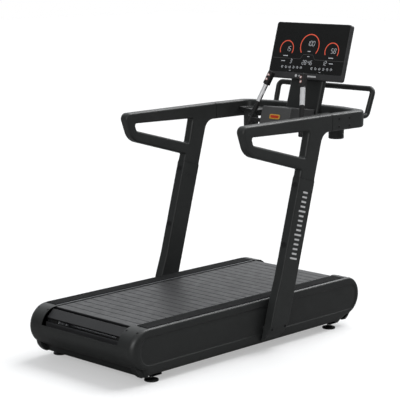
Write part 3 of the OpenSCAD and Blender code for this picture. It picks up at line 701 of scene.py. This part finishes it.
SLATS, SLAT_PITCH, SLAT_W = 58, 61.4, 57.6
PITCH_R = 75.0
SLAT_OUT_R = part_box("slat_treads")[1].z / MM - AXLE_Z
AXLE_GAP = (SLATS * SLAT_PITCH - 2 * math.pi * PITCH_R) / 2
TREAD_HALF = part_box("slat_treads")[1].x / MM
TREAD_T, TREAD_ROUND, TREAD_END = 5.0, 1.8, 0.8
FIRST_SLAT = 0.08                       # the first slat stands this many pitches past the front axle


def on_belt(s):
    """The place of a slat that stands s along the belt loop from the front axle."""
    turn_l = math.pi * PITCH_R
    if s < AXLE_GAP:
        y, a = AXLE_GAP / 2 - s, 0
    elif s < AXLE_GAP + turn_l:
        y, a = -AXLE_GAP / 2, math.degrees((s - AXLE_GAP) / PITCH_R)
    elif s < 2 * AXLE_GAP + turn_l:
        y, a = s - AXLE_GAP - turn_l - AXLE_GAP / 2, 180
    else:
        y, a = AXLE_GAP / 2, 180 + math.degrees((s - 2 * AXLE_GAP - turn_l) / PITCH_R)
    return shift(0, y, AXLE_Z) @ turn(a, "X")


bm = bmesh.new()
top, half = SLAT_OUT_R, SLAT_W / 2
shoulder = top - TREAD_ROUND
section = [(-half, top - TREAD_T), (-half, shoulder)]
section += arc(-half + TREAD_ROUND, shoulder, TREAD_ROUND, 180, 90, 3)
section += arc(half - TREAD_ROUND, shoulder, TREAD_ROUND, 90, 0, 3) + [(half, top - TREAD_T)]
for i in range(SLATS):
    slab(bm, section, [(-TREAD_HALF, TREAD_END), (-TREAD_HALF + TREAD_END, 0),
                       (TREAD_HALF - TREAD_END, 0), (TREAD_HALF, TREAD_END)],
         on_belt((i + FIRST_SLAT) * SLAT_PITCH) @ ALONG_X)
piece("slat_treads_fine", bm, TREAD, replaces=["slat_treads"], sharp=25)

# ---- levelling feet --------------------------------------

STEM_R, STEM_TOP, THREAD_PITCH, THREADS = 6.0, 64.0, 1.6, 24
NUT_Z, NUT_R = (18.0, 26.0), 10.5
for name in ("front_left", "front_right", "rear_left", "rear_right"):
    lo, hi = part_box(f"foot_{name}")
    cx, cy = (lo.x + hi.x) / 2 / MM, ((lo.y + hi.y) / 2 - BELT_MID_Y) / MM
    r = (hi.x - lo.x) / 2 / MM
    place = shift(cx, cy, 0)
    bm = bmesh.new()
    lathe(bm, [(0, 1.2), (r - 9, 1.2), (r - 8, 0), (r - 2, 0), (r - 0.6, 0.6), (r, 2), (r, 3.6),
               (r - 1, 4.2), (r - 1, 5), (r, 5.6), (r, 7.4), (r - 0.6, 8.6), (r - 2, 9), (r - 4, 9.2),
               (20, 14.8), (13.4, 17), (0, 17)], place, 48)
    piece(f"foot_{name}_pad", bm, FOOT, body=f"{name}_foot")
    bm = bmesh.new()
    stem = [(0, 15), (STEM_R, 15), (STEM_R, NUT_Z[1])]
    for k in range(THREADS):
        z = NUT_Z[1] + k * THREAD_PITCH
        stem += [(STEM_R - 0.8, z), (STEM_R, z + 0.6), (STEM_R, z + 0.9)]
    lathe(bm, stem + [(STEM_R - 0.8, STEM_TOP), (0, STEM_TOP)], place, 20)
    slab(bm, circle(NUT_R, n=6), soft(*NUT_Z, 1.0, 1.0, 2), place)
    piece(f"foot_{name}_stem", bm, ZINC, replaces=[f"foot_{name}"], body=f"{name}_foot")

# ---- uprights --------------------------------------------

LEAN = 15.3
EDGE_GAP = 134.0                        # level distance between an upright's front and rear edge
EDGE_START = 177.0                      # the front edge's line would meet the floor here
SEAM_Z = 941.0
SEAM_HALF, LINE_HALF = 1.4, 0.7         # half the gaps at the two seams
LINE_DOWN = -72.0                       # the second, finer seam is this far below the first
TUBE_R = 6.0


def edge_front(z):
    return EDGE_START + z * math.tan(deg(LEAN))


def edge_rear(z):
    return edge_front(z) - EDGE_GAP


LEAN_U = Vector((math.cos(deg(LEAN)), -math.sin(deg(LEAN))))      # across the upright, rear to front
LEAN_V = Vector((math.sin(deg(LEAN)), math.cos(deg(LEAN))))       # up the upright
SEAM = Vector((edge_rear(SEAM_Z), SEAM_Z))
SEAM_D = EDGE_GAP * math.cos(deg(LEAN))
BOLTS = [(86, 132), (193, 133)]


def on_seam(up):
    """A test for points that lie this far up from the seam, within a millimetre."""
    return lambda mid: abs((mid - SEAM).dot(LEAN_V) - up) < 1


def across(u, v):
    """A point u across and v up from the rear end of the seam."""
    p = SEAM + LEAN_U * u + LEAN_V * v
    return (p.x, p.y)


FOOT_FLARE, FLARE_TOP, FLARE_H = 10.0, 430.0, 170.0      # the rear edge flares out below FLARE_TOP
FOOT_Z = 60.0
BOOT = rounded([(TUBE_IN, 58, 0), (TUBE_IN + 26, 84, 30), (TUBE_OUT, 140, 70), (TUBE_OUT, 400, 0)], 10)[:-1]
FOOT_LEVELS = [0, 0.004, 0.010, 0.018, 0.027, 0.036, 0.046, 0.056, 0.067, 0.080, 0.095, 0.11, 0.125,
               0.15, 0.19, 0.215, 0.24, 0.265, 0.29, 0.33, 0.36, 0.39, 0.42, 0.45, 0.55, 1.0]
CORE_IN, CORE_HALF = 2.2, 8.0           # the dark core behind a seam: depth below the surface, half length
PLUG_Z, PLUG_IN = (342, 580, 900), 28.0
TICKS, TICK_Z, TICK_PITCH, TICK_H = 15, 500.0, 25.2, 10.0
TICK_LONG, TICK_SHORT = 58.0, 40.0
SPACER_R = 14.0
BAR_Y = 571.0                           # the handles end and the front bar starts here


def boot_x(z):
    """How far out the upright reaches at height z."""
    return between(z, sorted((pz, px) for px, pz in BOOT))


def foot_ring(t):
    """One ring of the lower part of an upright: level at its foot, square to the lean at its top."""
    rear_z = FOOT_Z + t * (across(0, LINE_DOWN - LINE_HALF)[1] - FOOT_Z)
    front_z = FOOT_Z + t * (across(SEAM_D, LINE_DOWN - LINE_HALF)[1] - FOOT_Z)
    row = []
    for u, w in round_box(SEAM_D, TUBE_OUT - TUBE_IN, TUBE_R, SEAM_D / 2, (TUBE_OUT - TUBE_IN) / 2, 6):
        f = u / SEAM_D
        z = rear_z + (front_z - rear_z) * f
        y = edge_rear(z) + EDGE_GAP * f - (1 - f) * FOOT_FLARE * smooth((FLARE_TOP - z) / FLARE_H)
        row.append((y, z, TUBE_IN + w * (boot_x(z) - TUBE_IN) / (TUBE_OUT - TUBE_IN)))
    return row


for side, mirror in SIDES:
    bm = bmesh.new()
    loft(bm, [foot_ring(t) for t in FOOT_LEVELS], ALONG_X)
    low, high = LINE_DOWN + LINE_HALF, -SEAM_HALF
    slab(bm, [across(0, low), across(SEAM_D, low), across(SEAM_D, high), across(0, high)],
         soft(TUBE_IN, TUBE_OUT, TUBE_R), ALONG_X,
         fixed=lambda mid: on_seam(low)(mid) or on_seam(high)(mid))
    ends = (TUBE_IN - SPACER_L + 1, TUBE_IN + 1)
    for y, z in BOLTS:      # spacers between the upright and the base
        lathe(bm, [(0, ends[0]), (SPACER_R, ends[0]), (SPACER_R, ends[1]), (0, ends[1])],
              shift(0, y, z) @ ALONG_X, 24)
    piece(f"upright_{side}_tube", bm, COAT, mirror, replaces=[f"upright_{side}"])

    bm = bmesh.new()        # dark core seen in the seams
    core = soft(TUBE_IN + CORE_IN, TUBE_OUT - CORE_IN, TUBE_R - 2, TUBE_R - 2, 3)
    for v in (LINE_DOWN, 0.0):
        slab(bm, [across(u, v + dv) for u, dv in ((CORE_IN, -CORE_HALF), (SEAM_D - CORE_IN, -CORE_HALF),
                                                  (SEAM_D - CORE_IN, CORE_HALF), (CORE_IN, CORE_HALF))],
             core, ALONG_X)
    low, high = BAR_LO_Z + CORE_IN, BAR_HI_Z - CORE_IN
    slab(bm, [(BAR_Y - CORE_HALF, low), (BAR_Y + CORE_HALF, low), (BAR_Y + CORE_HALF, high),
              (BAR_Y - CORE_HALF, high)], core, ALONG_X)
    piece(f"upright_{side}_seam_core", bm, DARK, mirror)

    bm = bmesh.new()        # round plugs in the rear faces
    for z in PLUG_Z:
        plug = shift(TUBE_OUT - PLUG_IN, edge_rear(z), z) @ turn(-LEAN, "X") @ turn(90, "X")
        lathe(bm, [(0, -4), (14, -4), (14, 0), (15.4, 0.3), (15.6, 1.4), (14.8, 2.4), (12.4, 2.6),
                   (11.4, 1.0), (4, 0.7), (0, 0.7)], plug, 28)
    piece(f"upright_{side}_plugs", bm, DARK, mirror)

    bm = bmesh.new()        # plain tick pattern on the outer face
    for k in range(TICKS):
        z = TICK_Z + k * TICK_PITCH
        mid = (edge_rear(z) + edge_front(z)) / 2 + 2
        tick = round_box(TICK_LONG if k % 5 == 0 else TICK_SHORT, TICK_H, 2.4)
        slab(bm, tick, soft(-0.3, 0.35, 0.0, 0.15, 2), shift(TUBE_OUT, mid, z) @ turn(-LEAN, "X") @ ALONG_X)
    piece(f"upright_{side}_tick_pattern", bm, STRIPE, mirror)

# ---- handles ---------------------------------------------

BAR_GAP = 1.8                           # half the gap between a handle and the front bar
HANDLE_R = 13.0
LOW_BAR_Z, LOW_BAR_FALL = 1066.5, 0.2736
TIP_Y, HEEL_Y = -114.0, 311.5           # the ends of the handle's lower edge


def low_bar_z(y):
    """The lower edge of a handle's slanted lower bar."""
    return LOW_BAR_Z - LOW_BAR_FALL * y


handle = rounded([
    (*across(SEAM_D, SEAM_HALF), 0), (edge_front(BAR_LO_Z), BAR_LO_Z, 70), (BAR_Y - BAR_GAP, BAR_LO_Z, 0),
    (BAR_Y - BAR_GAP, BAR_HI_Z, 0), (-173, BAR_HI_Z - 8, 33), (TIP_Y, low_bar_z(TIP_Y), 100),
    (HEEL_Y, low_bar_z(HEEL_Y), 8), (*across(0, SEAM_HALF), 0)], 10)
window = rounded([(-91, 1194, 12), (376, 1186, 12), (343, 1043, 12), (-75, 1152, 16)], 8)


def handle_ends(mid):
    return on_seam(SEAM_HALF)(mid) or abs(mid.x - (BAR_Y - BAR_GAP)) < 1


for side, mirror in SIDES:
    bm = bmesh.new()
    steps = soft(TUBE_IN, TUBE_OUT, HANDLE_R, HANDLE_R, 5)
    slab(bm, handle, steps, ALONG_X, holes=[(window, steps)], fixed=handle_ends)
    piece(f"handle_{side}_loop", bm, COAT, mirror, replaces=[f"handle_{side}"])

# ---- front bar -------------------------------------------

start = BAR_Y + 0.4 + BAR_GAP
bar = rounded([(TUBE_OUT, start, 0), (TUBE_OUT, 879.5, 75), (236, 948, 300), (-236, 948, 300),
               (-TUBE_OUT, 879.5, 75), (-TUBE_OUT, start, 0), (-TUBE_IN, start, 0), (-TUBE_IN, 838, 50),
               (-220, 884, 250), (220, 884, 250), (TUBE_IN, 838, 50), (TUBE_IN, start, 0)], 14)
bm = bmesh.new()
slab(bm, bar, soft(BAR_LO_Z, BAR_HI_Z, HANDLE_R, HANDLE_R, 5), UPRIGHT,
     fixed=lambda mid: abs(mid.y - start) < 1)
piece("front_bar_tube", bm, COAT, replaces=["front_bar"])

# ---- screws and bolts ------------------------------------

def button_head(bm, place, r, h, shank_r, shank_l, socket):
    """A domed head with a hexagon socket, resting on t = 0, and its shank below."""
    lathe(bm, [(0, -shank_l), (shank_r, -shank_l), (shank_r, 0), (r, 0), (r, 0.25 * h),
               (0.92 * r, 0.62 * h), (0.72 * r, 0.9 * h), (socket * 1.16, h), (socket * 0.96, 0.95 * h),
               (socket * 0.96, 0.35 * h), (0, 0.25 * h)], place, 24)
    side = [(u * socket, v * socket) for u, v in ((-0.5, 0.60), (0.5, 0.60), (0.35, 0.94), (-0.35, 0.94))]
    for k in range(6):
        slab(bm, side, [(0.3 * h, 0), (0.93 * h, 0)], place @ turn(60 * k + 30, "Z"))


# radius and height of the head, radius and length of the shank, size of the socket
FOOT_BOLT = (9, 4.2, 6, 86, 3.6)
BAR_SCREW = (6.6, 2.8, 3, 12, 2.4)
BEARING_BOLT = (8, 4.6, 4.5, 20, 3.2)
CAP_SCREW = (6, 2.2, 3, 14, 2.4)
BEARING_X, BEARING_HALF = 335.0, 30.0
CAP_SCREW_X, CAP_SCREW_TURN = (-382, -306, 306, 382), 27
bm = bmesh.new()
for flip in (Matrix.Identity(4), Matrix.Diagonal((-1, 1, 1, 1))):
    for y, z in BOLTS:
        button_head(bm, flip @ shift(boot_x(z) - 0.4, y, z) @ ALONG_X @ turn(-4, "X"), *FOOT_BOLT)
    for y in (631, 723):
        for z in (BAR_HI_Z - 31, BAR_HI_Z - 73):
            button_head(bm, flip @ shift(TUBE_OUT, y, z) @ ALONG_X, *BAR_SCREW)
    for axle in (-AXLE_GAP / 2, AXLE_GAP / 2):
        for dy in (-BEARING_HALF, BEARING_HALF):
            for dz in (-BEARING_HALF, BEARING_HALF):
                place = shift(BEARING_X, axle + dy, AXLE_Z + dz) @ ALONG_X @ turn(180, "X")
                button_head(bm, flip @ place, *BEARING_BOLT)
for c, d in ((REAR_C, 1), (FRONT_C, -1)):
    for x in CAP_SCREW_X:
        place = shift(x, c + end_moved(x, d), END_Z) @ turn(d * CAP_SCREW_TURN, "X")
        button_head(bm, place @ shift(0, 0, END_R + 0.2), *CAP_SCREW)
piece("frame_bolt_heads", bm, BOLT, replaces=["frame_bolts"])

# ---- corner trays ----------------------------------------

CUP_X, CUP_Y, CUP_R = 327.0, 783.0, 44.0
CUP_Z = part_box("trays")[0].z / MM
TRAY_LO, TRAY_HI = 1203.0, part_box("trays")[1].z / MM
for side, mirror in SIDES:
    bm = bmesh.new()
    plate = rounded([(TUBE_IN, 771, 3), (TUBE_IN, 796, 3), (384, 842, 20), (178, 880, 5),
                     (205, 682, 14)], 8)
    rim = circle(CUP_R - 3.5, CUP_X, CUP_Y, 48)
    mouth = [(TRAY_LO, 0), (TRAY_HI - 3, 0), (TRAY_HI - 1, 0.8), (TRAY_HI, 2.6)]
    shelf = [(TRAY_HI, 0), (TRAY_HI - 1.2, 0.8), (TRAY_HI - 4, 1.6), (TRAY_HI - 5, 3)]
    slab(bm, plate, soft(TRAY_LO, TRAY_HI, 2, 3, 3), UPRIGHT, holes=[(rim, mouth)],
         pockets=[(round_box(66, 84, 12, 240, 792), shelf)])
    place = shift(CUP_X, CUP_Y, 0)
    cup_wall = [(-10, 0), (-3, 0.6), (-0.6, 3), (0, 7), (0, 20), (-0.8, 21), (-0.8, 23), (0, 24),
                (0, TRAY_LO + 1 - CUP_Z), (-3.4, TRAY_LO + 1 - CUP_Z), (-3.4, 8), (-8, 4), (-10, 4)]
    lathe(bm, [(CUP_R + r, CUP_Z + z) for r, z in cup_wall], place, 48, closed=True)
    cup_floor = [(0, 0.6), (CUP_R - 10, 0.6), (CUP_R - 9.6, 3.9), (16, 3.9), (15, 4.6), (0, 4.6)]
    lathe(bm, [(r, CUP_Z + z) for r, z in cup_floor], place, 48)
    piece(f"tray_{side}", bm, TRAY, mirror,
          replaces=["trays"] if side == "right" else ())

# ---- accessory bar ---------------------------------------

bm = bmesh.new()
path = bend([(352, 925, 1210, 0), (352, 1031, 1210, 28), (361, 1080, 1361, 28), (-361, 1080, 1361, 28),
             (-352, 1031, 1210, 28), (-352, 925, 1210, 0)], 8)
pipe(bm, path, 16, n=28)
piece("accessory_bar_tube", bm, COAT, replaces=["accessory_bar"])

# ---- console column --------------------------------------

IN_COLUMN = shift(0, 838.8, 1167) @ turn(-16.5, "X")
bm = bmesh.new()
slab(bm, round_box(252, 36, 16, 0, 18, 10), soft(14, 349, 2, 2, 2), IN_COLUMN)
piece("console_column_shell", bm, COAT, replaces=["console_column"])

# ---- console ---------------------------------------------

CON_W, CON_H, CON_T, STRIP_H = 560.0, 336.0, 32.0, 35.0
GLASS_IN = 5.0                          # the rim of the housing round the glass
TOP = -0.7                              # the glass surface, behind the housing's face
IN_CONSOLE = shift(0, 877, 1410) @ turn(-15.8, "X")
FACE = IN_CONSOLE @ FACING
bm = bmesh.new()
glass_w, glass_h = CON_W - 2 * GLASS_IN, CON_H - GLASS_IN - STRIP_H
glass_mid = (STRIP_H + CON_H - GLASS_IN) / 2
well = (round_box(glass_w, glass_h, 12, 0, glass_mid, 8), [(0, 0), (-0.4, 0.3), (-4.2, 0.3)])
slab(bm, round_box(CON_W, CON_H, 16, 0, CON_H / 2, 8), soft(-28, 0, 0.6, 3.5, 4), FACE, pockets=[well])
piece("console_frame_shell", bm, RIM, replaces=["console_frame"])

bm = bmesh.new()
slab(bm, round_box(glass_w - 1, glass_h - 1, 11.5, 0, glass_mid, 8), soft(-4, TOP, 0, 0.5, 2), FACE)
piece("console_glass_sheet", bm, GLASS, replaces=["console_glass"])

bm = bmesh.new()
vents = []
for k in range(9):
    for cx in (-190, 190):
        vents.append((round_box(120, 5, 2.4, cx, 120 + k * 16, 4), [(0, 0), (-0.5, 0.5), (-2.4, 0.6)]))
BACK = IN_CONSOLE @ shift(0, CON_T, 0) @ turn(180, "Z") @ FACING
slab(bm, round_box(CON_W, CON_H, 16, 0, CON_H / 2, 8), soft(-3.9, 0, 0.4, 3.0, 4), BACK, pockets=vents)
piece("console_back_cover", bm, DARK, replaces=["console_back"])


# graphics on the display: plain gauges, numbers and ticks
def ribbon(bm, path, width):
    """A flat line of the given width along (x, z) points on the glass."""
    n = len(path)
    left, right = [], []
    for i, p in enumerate(path):
        a, b = Vector(path[max(i - 1, 0)]), Vector(path[min(i + 1, n - 1)])
        d = (b - a).normalized()
        nrm = Vector((-d.y, d.x)) * width / 2
        left.append(tuple(Vector(p) + nrm))
        right.append(tuple(Vector(p) - nrm))
    slab(bm, left + right[::-1], [(TOP - 0.1, 0), (TOP + 0.12, 0)], FACE)


SEGMENTS = {"0": "abcdef", "1": "bc", "2": "abged", "3": "abgcd", "4": "fgbc", "5": "afgcd",
            "6": "afgedc", "7": "abc", "8": "abcdefg", "9": "abcdfg"}
# a digit's width over its height, the step to the next over its width, and its slant
DIGIT_WIDTH, DIGIT_STEP, DIGIT_SLANT = 0.52, 1.42, 0.12


def digits(bm, text, cx, cz, h, weight):
    """Seven-segment numbers of height h, centred on (cx, cz)."""
    w = h * DIGIT_WIDTH
    step = w * DIGIT_STEP
    widths = [step * 0.45 if c == ":" else step for c in text]
    x = cx - (sum(widths) - (step - w)) / 2
    gap = weight * 0.35
    for c, advance in zip(text, widths):
        def at(px, pz):
            return (x + px + DIGIT_SLANT * pz, cz + pz)
        if c == ":":
            for pz in (-h * 0.18, h * 0.18):
                ribbon(bm, [at(-weight * 0.5, pz), at(weight * 0.5, pz)], weight)
        else:
            ends = {"a": ((0, h / 2), (w, h / 2)), "g": ((0, 0), (w, 0)), "d": ((0, -h / 2), (w, -h / 2)),
                    "f": ((0, 0), (0, h / 2)), "b": ((w, 0), (w, h / 2)),
                    "e": ((0, -h / 2), (0, 0)), "c": ((w, -h / 2), (w, 0))}
            for s in SEGMENTS[c]:
                (ax, az), (bx, bz) = ends[s]
                d = Vector((bx - ax, bz - az)).normalized() * (gap + weight * 0.2)
                ribbon(bm, [at(ax + d.x, az + d.y), at(bx - d.x, bz - d.y)], weight)
        x += advance


GAUGES = ((0, 199, 69), (-171, 174, 50), (171, 174, 50))       # x, z and radius
bm = bmesh.new()
for cx, cz, r in GAUGES:
    below, weight = (38, 5.6) if cx == 0 else (28, 5.2)
    ribbon(bm, arc(cx, cz, r, -below, 180 + below, 40), weight)
piece("display_gauge_arcs", bm, GAUGE, sharp=20)

bm = bmesh.new()
for text, *place in (("100", 6, 214, 28, 2.6), ("15", -158, 176, 27, 2.6), ("58", 184, 177, 27, 2.6),
                     ("28:46", 2, 99, 24, 2.3), ("3", -122, 102, 24, 2.8), ("12", 132, 102, 24, 2.8)):
    digits(bm, text, *place)
for cx, cz, w, h in ((-171, 133, 36, 4.6), (3, 166, 22, 4.4), (173, 134, 36, 4.6), (-182, 101, 29, 4.2),
                     (4, 135, 16, 3.4), (182, 101, 29, 4.2)):      # dashes in place of captions
    ribbon(bm, [(cx - w / 2, cz), (cx + w / 2, cz)], h)
ICON_Z, ICON_R, ICON_STEP = 66.0, 6.6, 29.0
for first in (-181, 46):                # two rows of round icons
    for k in range(6):
        cx = first + ICON_STEP * k
        ribbon(bm, arc(cx, ICON_Z, ICON_R, 20 + 60 * k, 320 + 60 * k, 14), 2.2)
        ribbon(bm, [(cx - 2.6, ICON_Z - k % 3), (cx + 2.6, ICON_Z + k % 3)], 2.4)
    ribbon(bm, [(first + 58, ICON_Z - 20), (first + 70, ICON_Z - 20)], 2.6)
piece("display_numbers", bm, DIGIT, sharp=20)

bm = bmesh.new()
half_line = [(36, 146), (44, 138), (52, 122), (60, 118), (272, 118)]
ribbon(bm, [(-x, z) for x, z in reversed(half_line)] + half_line, 1.8)
for cx in (-116, 118):
    ribbon(bm, arc(cx, 58, 34, 212, 328, 12), 1.4)
for cx, cz, r in GAUGES:
    r -= 3 if cx == 0 else 4
    for tick_in, tick_out in zip(arc(cx, cz, r - 2, -30, 210, 14), arc(cx, cz, r, -30, 210, 14)):
        ribbon(bm, [tick_in, tick_out], 1.0)
piece("display_faint_lines", bm, FAINT, sharp=20)

bm = bmesh.new()        # plain light mark in the middle of the lower strip
for w, h, r, cx in ((17, 17, 8.4, -62), (132, 10, 3.4, 24)):
    slab(bm, round_box(w, h, r, cx, STRIP_H / 2), soft(-0.2, 0.3, 0, 0.15, 2), FACE)
piece("console_strip_mark", bm, STRIPE)

# ---- control box and stop key ----------------------------

BOX_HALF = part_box("control_box")[1].x / MM
BOX_Y, BOX_Z = 606.0, 1152.0            # the lower edge of the face with the stop key
control = rounded([(BOX_Y, BOX_Z, 6), (643.4, BAR_HI_Z, 8), (856, 1240, 3), (836, 1176, 3),
                   (700, BOX_Z, 20)], 8)
bm = bmesh.new()
slab(bm, control, soft(-BOX_HALF, BOX_HALF, 5, 5, 4), ALONG_X)
piece("control_box_shell", bm, BOX, replaces=["control_box"])

FACE_LEAN = 18.3
STOP_Z = 1208.0
STOP_Y = BOX_Y + (STOP_Z - BOX_Z) * math.tan(deg(FACE_LEAN))
STOP = shift(0, STOP_Y, STOP_Z) @ turn(-FACE_LEAN, "X") @ FACING
bm = bmesh.new()
slab(bm, round_box(76, 28, 9, n=8), soft(-2, 4, 0, 1.6, 4), STOP,
     holes=[(round_box(62, 16, 6, n=8), [(-2, 0), (3.2, 0), (4, 0.8)])])
piece("stop_key_border", bm, YELLOW, replaces=["stop_bezel"])
bm = bmesh.new()
slab(bm, round_box(60.5, 14.5, 6, n=8), soft(-6, 5.5, 0, 1.6, 4), STOP,
     pockets=[(round_box(40, 4, 1.9, n=4), [(5.5, 0), (4.9, 0.4), (4.9, 0.8)])])
slab(bm, round_box(68, 22, 6, n=6), [(-8, 0), (-5, 0)], STOP)
piece("stop_key_button", bm, RED, replaces=["stop_button"], body="stop_key")

bm = bmesh.new()        # thin trim line along the top edge of the control box
slab(bm, round_box(2 * BOX_HALF - 16, 3, 1.4, 0, 0), soft(-0.6, 0.5, 0, 0.4, 2),
     shift(0, 641.6, BAR_HI_Z - 8) @ turn(-FACE_LEAN, "X") @ FACING)
piece("control_box_trim", bm, ALU)

# ---- grips -----------------------------------------------

GRIP = shift(214, 604, 1114) @ turn(-15.54, "Y") @ turn(-20.43, "X")
GRIP_L, GRIP_R, SLEEVE_R, CLAMP_R = 378.0, 12.5, 15.0, 20.0
PLATE_TURN = 38
SLEEVE_RINGS, RING_STEP = 17, 10.0


def collar(bm, r, start, end, edge, lift, n):
    """A disc round the grip from start to end, with edges bevelled by edge across and lift along."""
    lathe(bm, [(0, start), (r - edge, start), (r, start + lift), (r, end - lift), (r - edge, end),
               (0, end)], GRIP, n)


for side, mirror in SIDES:
    bm = bmesh.new()
    sleeve = [(SLEEVE_R, 0), (3, 0), (0.8, 0.8), (0, 3)]        # (depth below SLEEVE_R, height)
    for k in range(1, SLEEVE_RINGS + 1):
        sleeve += [(d, k * RING_STEP + h) for d, h in ((0, 0), (0.8, 0.8), (0.8, 1.8), (0, 2.6))]
    bare = SLEEVE_R - GRIP_R
    sleeve += [(0, 181), (0.8, 183), (3, 184), (bare, 184), (bare, 300), (SLEEVE_R, 300)]
    lathe(bm, [(SLEEVE_R - d, h) for d, h in sleeve], GRIP, 32)
    collar(bm, SLEEVE_R, 293.9, 297, 1, 0.5, 32)
    collar(bm, CLAMP_R, 54, 90, 2, 2, 36)
    head = round_box(34, 40, 10, 0, -1, 8)
    slab(bm, head, soft(296, GRIP_L, 2, 7, 5), GRIP)
    piece(f"grip_{side}_body", bm, SOFT, mirror, replaces=[f"grip_{side}"])

    bm = bmesh.new()        # curved contact plate, with a small tab on its inner edge
    slab(bm, arc(0, 0, SLEEVE_R, 171, 369, 22) + arc(0, 0, GRIP_R + 0.1, 369, 171, 22),
         soft(186.2, 293.8, 0.8, 0.8, 2), GRIP @ turn(PLATE_TURN, "Z"))
    slab(bm, round_box(6, 26, 2.6, 0, 246, 4), soft(SLEEVE_R - 2, SLEEVE_R + 1.2, 0, 1, 3),
         GRIP @ turn(195, "Z") @ ALONG_X)
    piece(f"sensor_plate_{side}", bm, PLATE, mirror,
          replaces=["sensor_plates"] if side == "right" else ())

    for level, s in (("lower", 325.0), ("upper", 352.0)):
        place = GRIP @ shift(0, -17, s) @ turn(90, "X")
        bm = bmesh.new()
        lathe(bm, [(0, 0), (8.9, 0), (8.9, 5.6), (8.5, 6.8), (7.6, 7.3), (6.0, 7.2), (5.4, 6.5), (0, 6.5)],
              place, 32)
        button = f"{side}_{level}_button"
        piece(f"grip_{side}_{level}_key", bm, ROSE, mirror, replaces=[f"grip_{button}"],
              body=button)
        bm = bmesh.new()
        # pearl key centre, with its painted glow
        lathe(bm, [(0, 6.2), (5.0, 6.2), (5.0, 6.9), (4.4, 7.3), (2.4, 7.5), (0, 7.5)], place, 28)
        piece(f"grip_{side}_{level}_key_centre", bm, PEARL_PAINTED_GLOW, mirror, body=button)

# ---- floor, light and camera -----------------------------

bpy.ops.mesh.primitive_plane_add(size=60, location=(0, 0, 0))
floor = bpy.context.object
floor.name = "floor"
paper = Shader("floor_paper", (0.80, 0.805, 0.81), rough=0.8, spec=0.2).vary(0.01, 1.5)
lit = paper.node("ShaderNodeEmission")              # an evenly lit white sweep, as the camera sees it
seen = paper.node("ShaderNodeMixShader", Fac=0.40)
paper.link(paper.bsdf.outputs[0], seen.inputs[1])
paper.link(lit.outputs[0], seen.inputs[2])
dim = paper.node("ShaderNodeBsdfDiffuse")           # and as the light on the machine sees it
dim.inputs["Color"].default_value = (0.22, 0.22, 0.22, 1)
who = paper.node("ShaderNodeLightPath")
both = paper.node("ShaderNodeMixShader")
paper.link(who.outputs["Is Camera Ray"], both.inputs[0])
paper.link(dim.outputs[0], both.inputs[1])
paper.link(seen.outputs[0], both.inputs[2])
paper.link(both.outputs[0], paper.nt.nodes["Material Output"].inputs["Surface"])
floor.data.materials.append(paper.mat)

scene = bpy.context.scene
scene.view_settings.view_transform = "Standard"
world = bpy.data.worlds.new("studio")
scene.world = world
world.use_nodes = True
tree = world.node_tree


def world_node(kind, **values):
    return add_node(tree, kind, values)


def ramp(value, source, target):
    return add_range(tree, value, source, target, interpolation_type="SMOOTHSTEP")


ROOM_GLOW, BACKDROP_GLOW, ZENITH_GLOW = 0.10, 0.82, 0.35
BACKDROP = (-0.69, 0.72, 0.0)       # the white backdrop stands behind the machine, seen from the camera
studio = tree.nodes["Background"]
studio.inputs["Color"].default_value = (0.96, 0.98, 1.0, 1)
toward = world_node("ShaderNodeVectorMath", operation="DOT_PRODUCT")
looking = world_node("ShaderNodeTexCoord").outputs["Generated"]
tree.links.new(looking, toward.inputs[0])
toward.inputs[1].default_value = BACKDROP
height = world_node("ShaderNodeSeparateXYZ")
tree.links.new(looking, height.inputs[0])
total = world_node("ShaderNodeMath", operation="ADD")
tree.links.new(ramp(toward.outputs["Value"], (0.1, 0.9), (ROOM_GLOW, BACKDROP_GLOW)), total.inputs[0])
tree.links.new(ramp(height.outputs["Z"], (0.2, 0.95), (0.0, ZENITH_GLOW)), total.inputs[1])
tree.links.new(total.outputs[0], studio.inputs["Strength"])
white = world_node("ShaderNodeBackground")
white.inputs["Color"].default_value = (1, 1, 1, 1)
rays = world_node("ShaderNodeLightPath")
choose = world_node("ShaderNodeMixShader")
tree.links.new(rays.outputs["Is Camera Ray"], choose.inputs["Fac"])
tree.links.new(studio.outputs[0], choose.inputs[1])
tree.links.new(white.outputs[0], choose.inputs[2])
tree.links.new(choose.outputs[0], tree.nodes["World Output"].inputs["Surface"])


def look_at(ob, target):
    ob.rotation_euler = (Vector(target) - ob.location).to_track_quat("-Z", "Y").to_euler()


def placed(name, data, location=(0, 0, 0)):
    ob = bpy.data.objects.new(name, data)
    scene.collection.objects.link(ob)
    ob.location = location
    return ob


sky = bpy.data.lights.new("broad_overhead", "SUN")
sky.energy = 3.6
sky.angle = deg(50)
placed("broad_overhead", sky).rotation_euler = (deg(-38), deg(4), 0)

light = bpy.data.lights.new("fill_beside_camera", "AREA")
light.shape = "SQUARE"
light.size = 3.0
light.energy = 150
look_at(placed("fill_beside_camera", light, (2.6, -5.6, 2.9)), (0, 0.6, 1.4))

camera = bpy.data.cameras.new("camera")
camera.sensor_width = 36
camera.lens = 129.33
cam = placed("camera", camera, (5.4316, -5.6139 + BELT_MID_Y, 2.1630))
look_at(cam, (0, 0.00288 + BELT_MID_Y, 0.798))
scene.camera = cam
